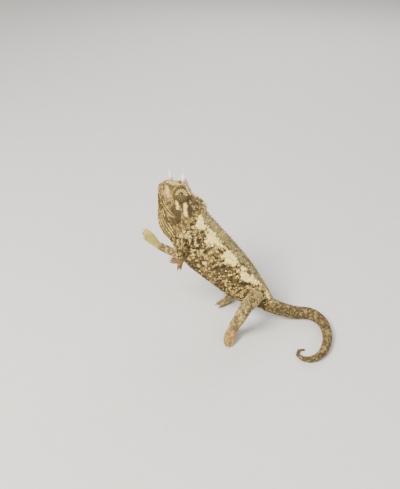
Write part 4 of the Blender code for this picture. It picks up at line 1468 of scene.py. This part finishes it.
scaleFinish = coatMaterial("bodyScales", finishes["bodyScales"])
skinFinish = coatMaterial("skinBetween", finishes["skinBetween"])
hornFinish = streakedMaterial("paleHorn", finishes["paleHorn"])
clawFinish = streakedMaterial("brownClaw", finishes["brownClaw"])
eyeFinish = eyeMaterial("wetEye", finishes["wetEye"])

print("scales: choosing places")
points, facing, node, radius, rise, kind = chooseScales(skinBase, skinTree)
lie = lieDirections(node)
print("scales:", len(points))
atlas = skinPlan(skinBase)
print("skin: unwrapped for the scales' patches")

rowTints = {  # the rows of plates take up some of a colour of their own
    "brow": ("crest", 0.65), "crownRidge": ("crest", 0.95), "casqueEdge": ("casque", 0.4),
    "hornRing": ("pale", 0.5), "upperLip": ("pale", 0.4), "lowerLip": ("throatPale", 0.5),
}
ground = groundColours(skinBase)
rng = np.random.default_rng(coat["seed"] + 1)
tints = paint(points, node) * rng.uniform(*coat["shades"], len(points))[:, None]
tints[kind == "big"] *= coat["bigShade"]
for name, (colour, share) in rowTints.items():
    mine = (kind == name) & ((name != "brow") | (toBody(points)[:, 0] < hornValues["brow"]["root"][0]))
    tints[mine] += (colours[colour] - tints[mine]) * share

coatPieces = {
    "scalesHead": ("skin_body", regionNodes["head"]),
    "scalesThroat": ("skin_throat", ("throat",)),
    "scalesNeck": ("skin_body", ("neck", "trunk_front")),
    "scalesTrunk": ("skin_body", ("trunk_rear", "pelvis")),
    "scalesHindLegs": ("skin_limbs", ("thigh_left", "shank_left", "thigh_right", "shank_right")),
    "scalesArms": ("skin_limbs", ("upper_arm_left", "forearm_left", "upper_arm_right", "forearm_right")),
    "scalesFeet": ("skin_limbs", ("hind_foot_left", "hind_foot_right", "fore_foot_left", "fore_foot_right")),
    "scalesTail": ("skin_limbs", regionNodes["tail"]),
}
reach = outlines(points, facing, lie, radius)
spots = planPlaces(points, atlas)
for name, (slot, nodes) in coatPieces.items():
    mine = np.isin(node, [fleshNodes.index(n) for n in nodes])
    shape = fineDome if name == "scalesFeet" else coarseDome
    scales = (points[mine], facing[mine], lie[mine], radius[mine], rise[mine], tints[mine], reach[mine])
    mesh = scaleMesh(name, shape, scales, spots[mine], skinTree)
    put(newObject(name, mesh, scaleFinish))
    print(name, mine.sum(), "scales,", len(mesh.loops) - 2 * len(mesh.polygons), "triangles")

skinBase.transform(Matrix.Scale(mm, 4))
skinCo = coordinates(skinBase) / mm
# painted shade: the skin between the scales is a darker copy of the paint
coloured(skinBase, paint(skinCo, nodeAt(skinCo)) * skinValues["shade"], np.ones(len(skinCo)))
skinBase.materials.clear()
put(newObject("skin", skinBase, skinFinish), [n for n in fleshNodes if n not in lidNodes])

for side, word in ((1, "left"), (-1, "right")):
    lid = eyeTurret("eyelid_" + word, side, skinFinish)
    # painted shade: the lid shows as dark brown in the gaps between the eye's scales
    coloured(lid.data, colours["brown"] * eyeValues["lidShade"], np.ones(len(lid.data.vertices)))
    put(lid, ("eye_" + word,))
    put(eyeball("eyeball_" + word, side, eyeFinish))
    lidPoints, lidFacing, lidTints, lidRadius, lidLie = turretScales(side)
    lidReach = outlines(lidPoints, lidFacing, lidLie, lidRadius)
    height = np.full(len(lidPoints), eyeValues["height"])
    scales = (lidPoints, lidFacing, lidLie, lidRadius, height, lidTints, lidReach)
    mesh = scaleMesh("eyeScales_" + word, coarseDome, scales, planPlaces(lidPoints, atlas))
    put(newObject("eyeScales_" + word, mesh, scaleFinish))
    put(horn("brow_horn_" + word, hornValues["brow"], side, hornFinish), ("horn_" + word,))
put(horn("nose_horn", hornValues["rostral"], 1, hornFinish), ("horn_rostral",))
for foot in footDigits:
    put(clawsOf("claws_" + foot, foot, clawFinish))
print("eyes, horns and claws done")

crestDome = scaleShape(((1, -0.4), (0.72, 0.3), (0.4, 0.65)))
crestPoints, crestFacing, crestLie, height = (np.array(part) for part in zip(*crestSpots(skinTree)))
crestRadius = crestValues["root"] * (0.75 + 0.25 * height)
squareness = 1 + 0.25 * np.abs(np.cos(2 * pi * np.arange(domeSides) / domeSides))
crestTint = mixed(paint(crestPoints, nodeAt(crestPoints)), "crest", 0.45)
scales = (crestPoints, crestFacing, crestLie, crestRadius, (height + 0.25) / crestRadius, crestTint,
          crestRadius[:, None] * squareness)
mesh = scaleMesh("crest", crestDome, scales, planPlaces(crestPoints, atlas))
put(newObject("crest", mesh, scaleFinish))
print("crest:", len(height), "cones")

studio = {
    "floor": {"colour": (0.62, 0.61, 0.59), "mottle": 0.04, "grain": 160, "roughness": 0.8},
    "floorSize": 12.0,
    "lights": {  # place, size, power and colour
        "keyLight": ((-0.3, -0.25, 0.5), 0.25, 8.5, (1.0, 0.95, 0.87)),
        "fillLight": ((0.4, -0.4, 0.3), 0.5, 2.0, (0.95, 0.97, 1.0)),
        "rimLight": ((0.1, 0.5, 0.4), 0.4, 2.0, (1.0, 1.0, 1.0)),
    },
    "room": {"Color": (1.0, 0.98, 0.95, 1), "Strength": 0.68},
    "target": (-0.0168, 0.0074, 0.0391),
    "distance": 0.240,
    "elevation": 35.0,
    "lens": 41.09,
}


def aimed(name, data, place):  # a lamp or the camera, turned to the animal
    obj = bpy.data.objects.new(name, data)
    obj.location = place
    obj.rotation_euler = (Vector(studio["target"]) - Vector(place)).to_track_quat("-Z", "Y").to_euler()
    bpy.context.scene.collection.objects.link(obj)
    return obj


def studioSet():
    bm = bmesh.new()
    bmesh.ops.create_grid(bm, x_segments=1, y_segments=1, size=studio["floorSize"] / 2 / mm)
    floor = finished("floor", bm, floorMaterial("paleFloor", studio["floor"]))
    for name, (place, size, power, colour) in studio["lights"].items():
        lamp = bpy.data.lights.new(name, "AREA")
        lamp.size, lamp.energy, lamp.color = size, power, colour
        aimed(name, lamp, place)
    world = bpy.data.worlds.new("softRoom")
    world.use_nodes = True
    for key, value in studio["room"].items():
        world.node_tree.nodes["Background"].inputs[key].default_value = value
    bpy.context.scene.world = world
    lens = bpy.data.cameras.new("camera")
    lens.lens = studio["lens"]
    lens.clip_start = 0.005
    tilt = radians(studio["elevation"])
    place = Vector(studio["target"]) + Vector((0, -cos(tilt), sin(tilt))) * studio["distance"]
    bpy.context.scene.camera = aimed("camera", lens, place)


studioSet()
bpy.context.view_layer.update()
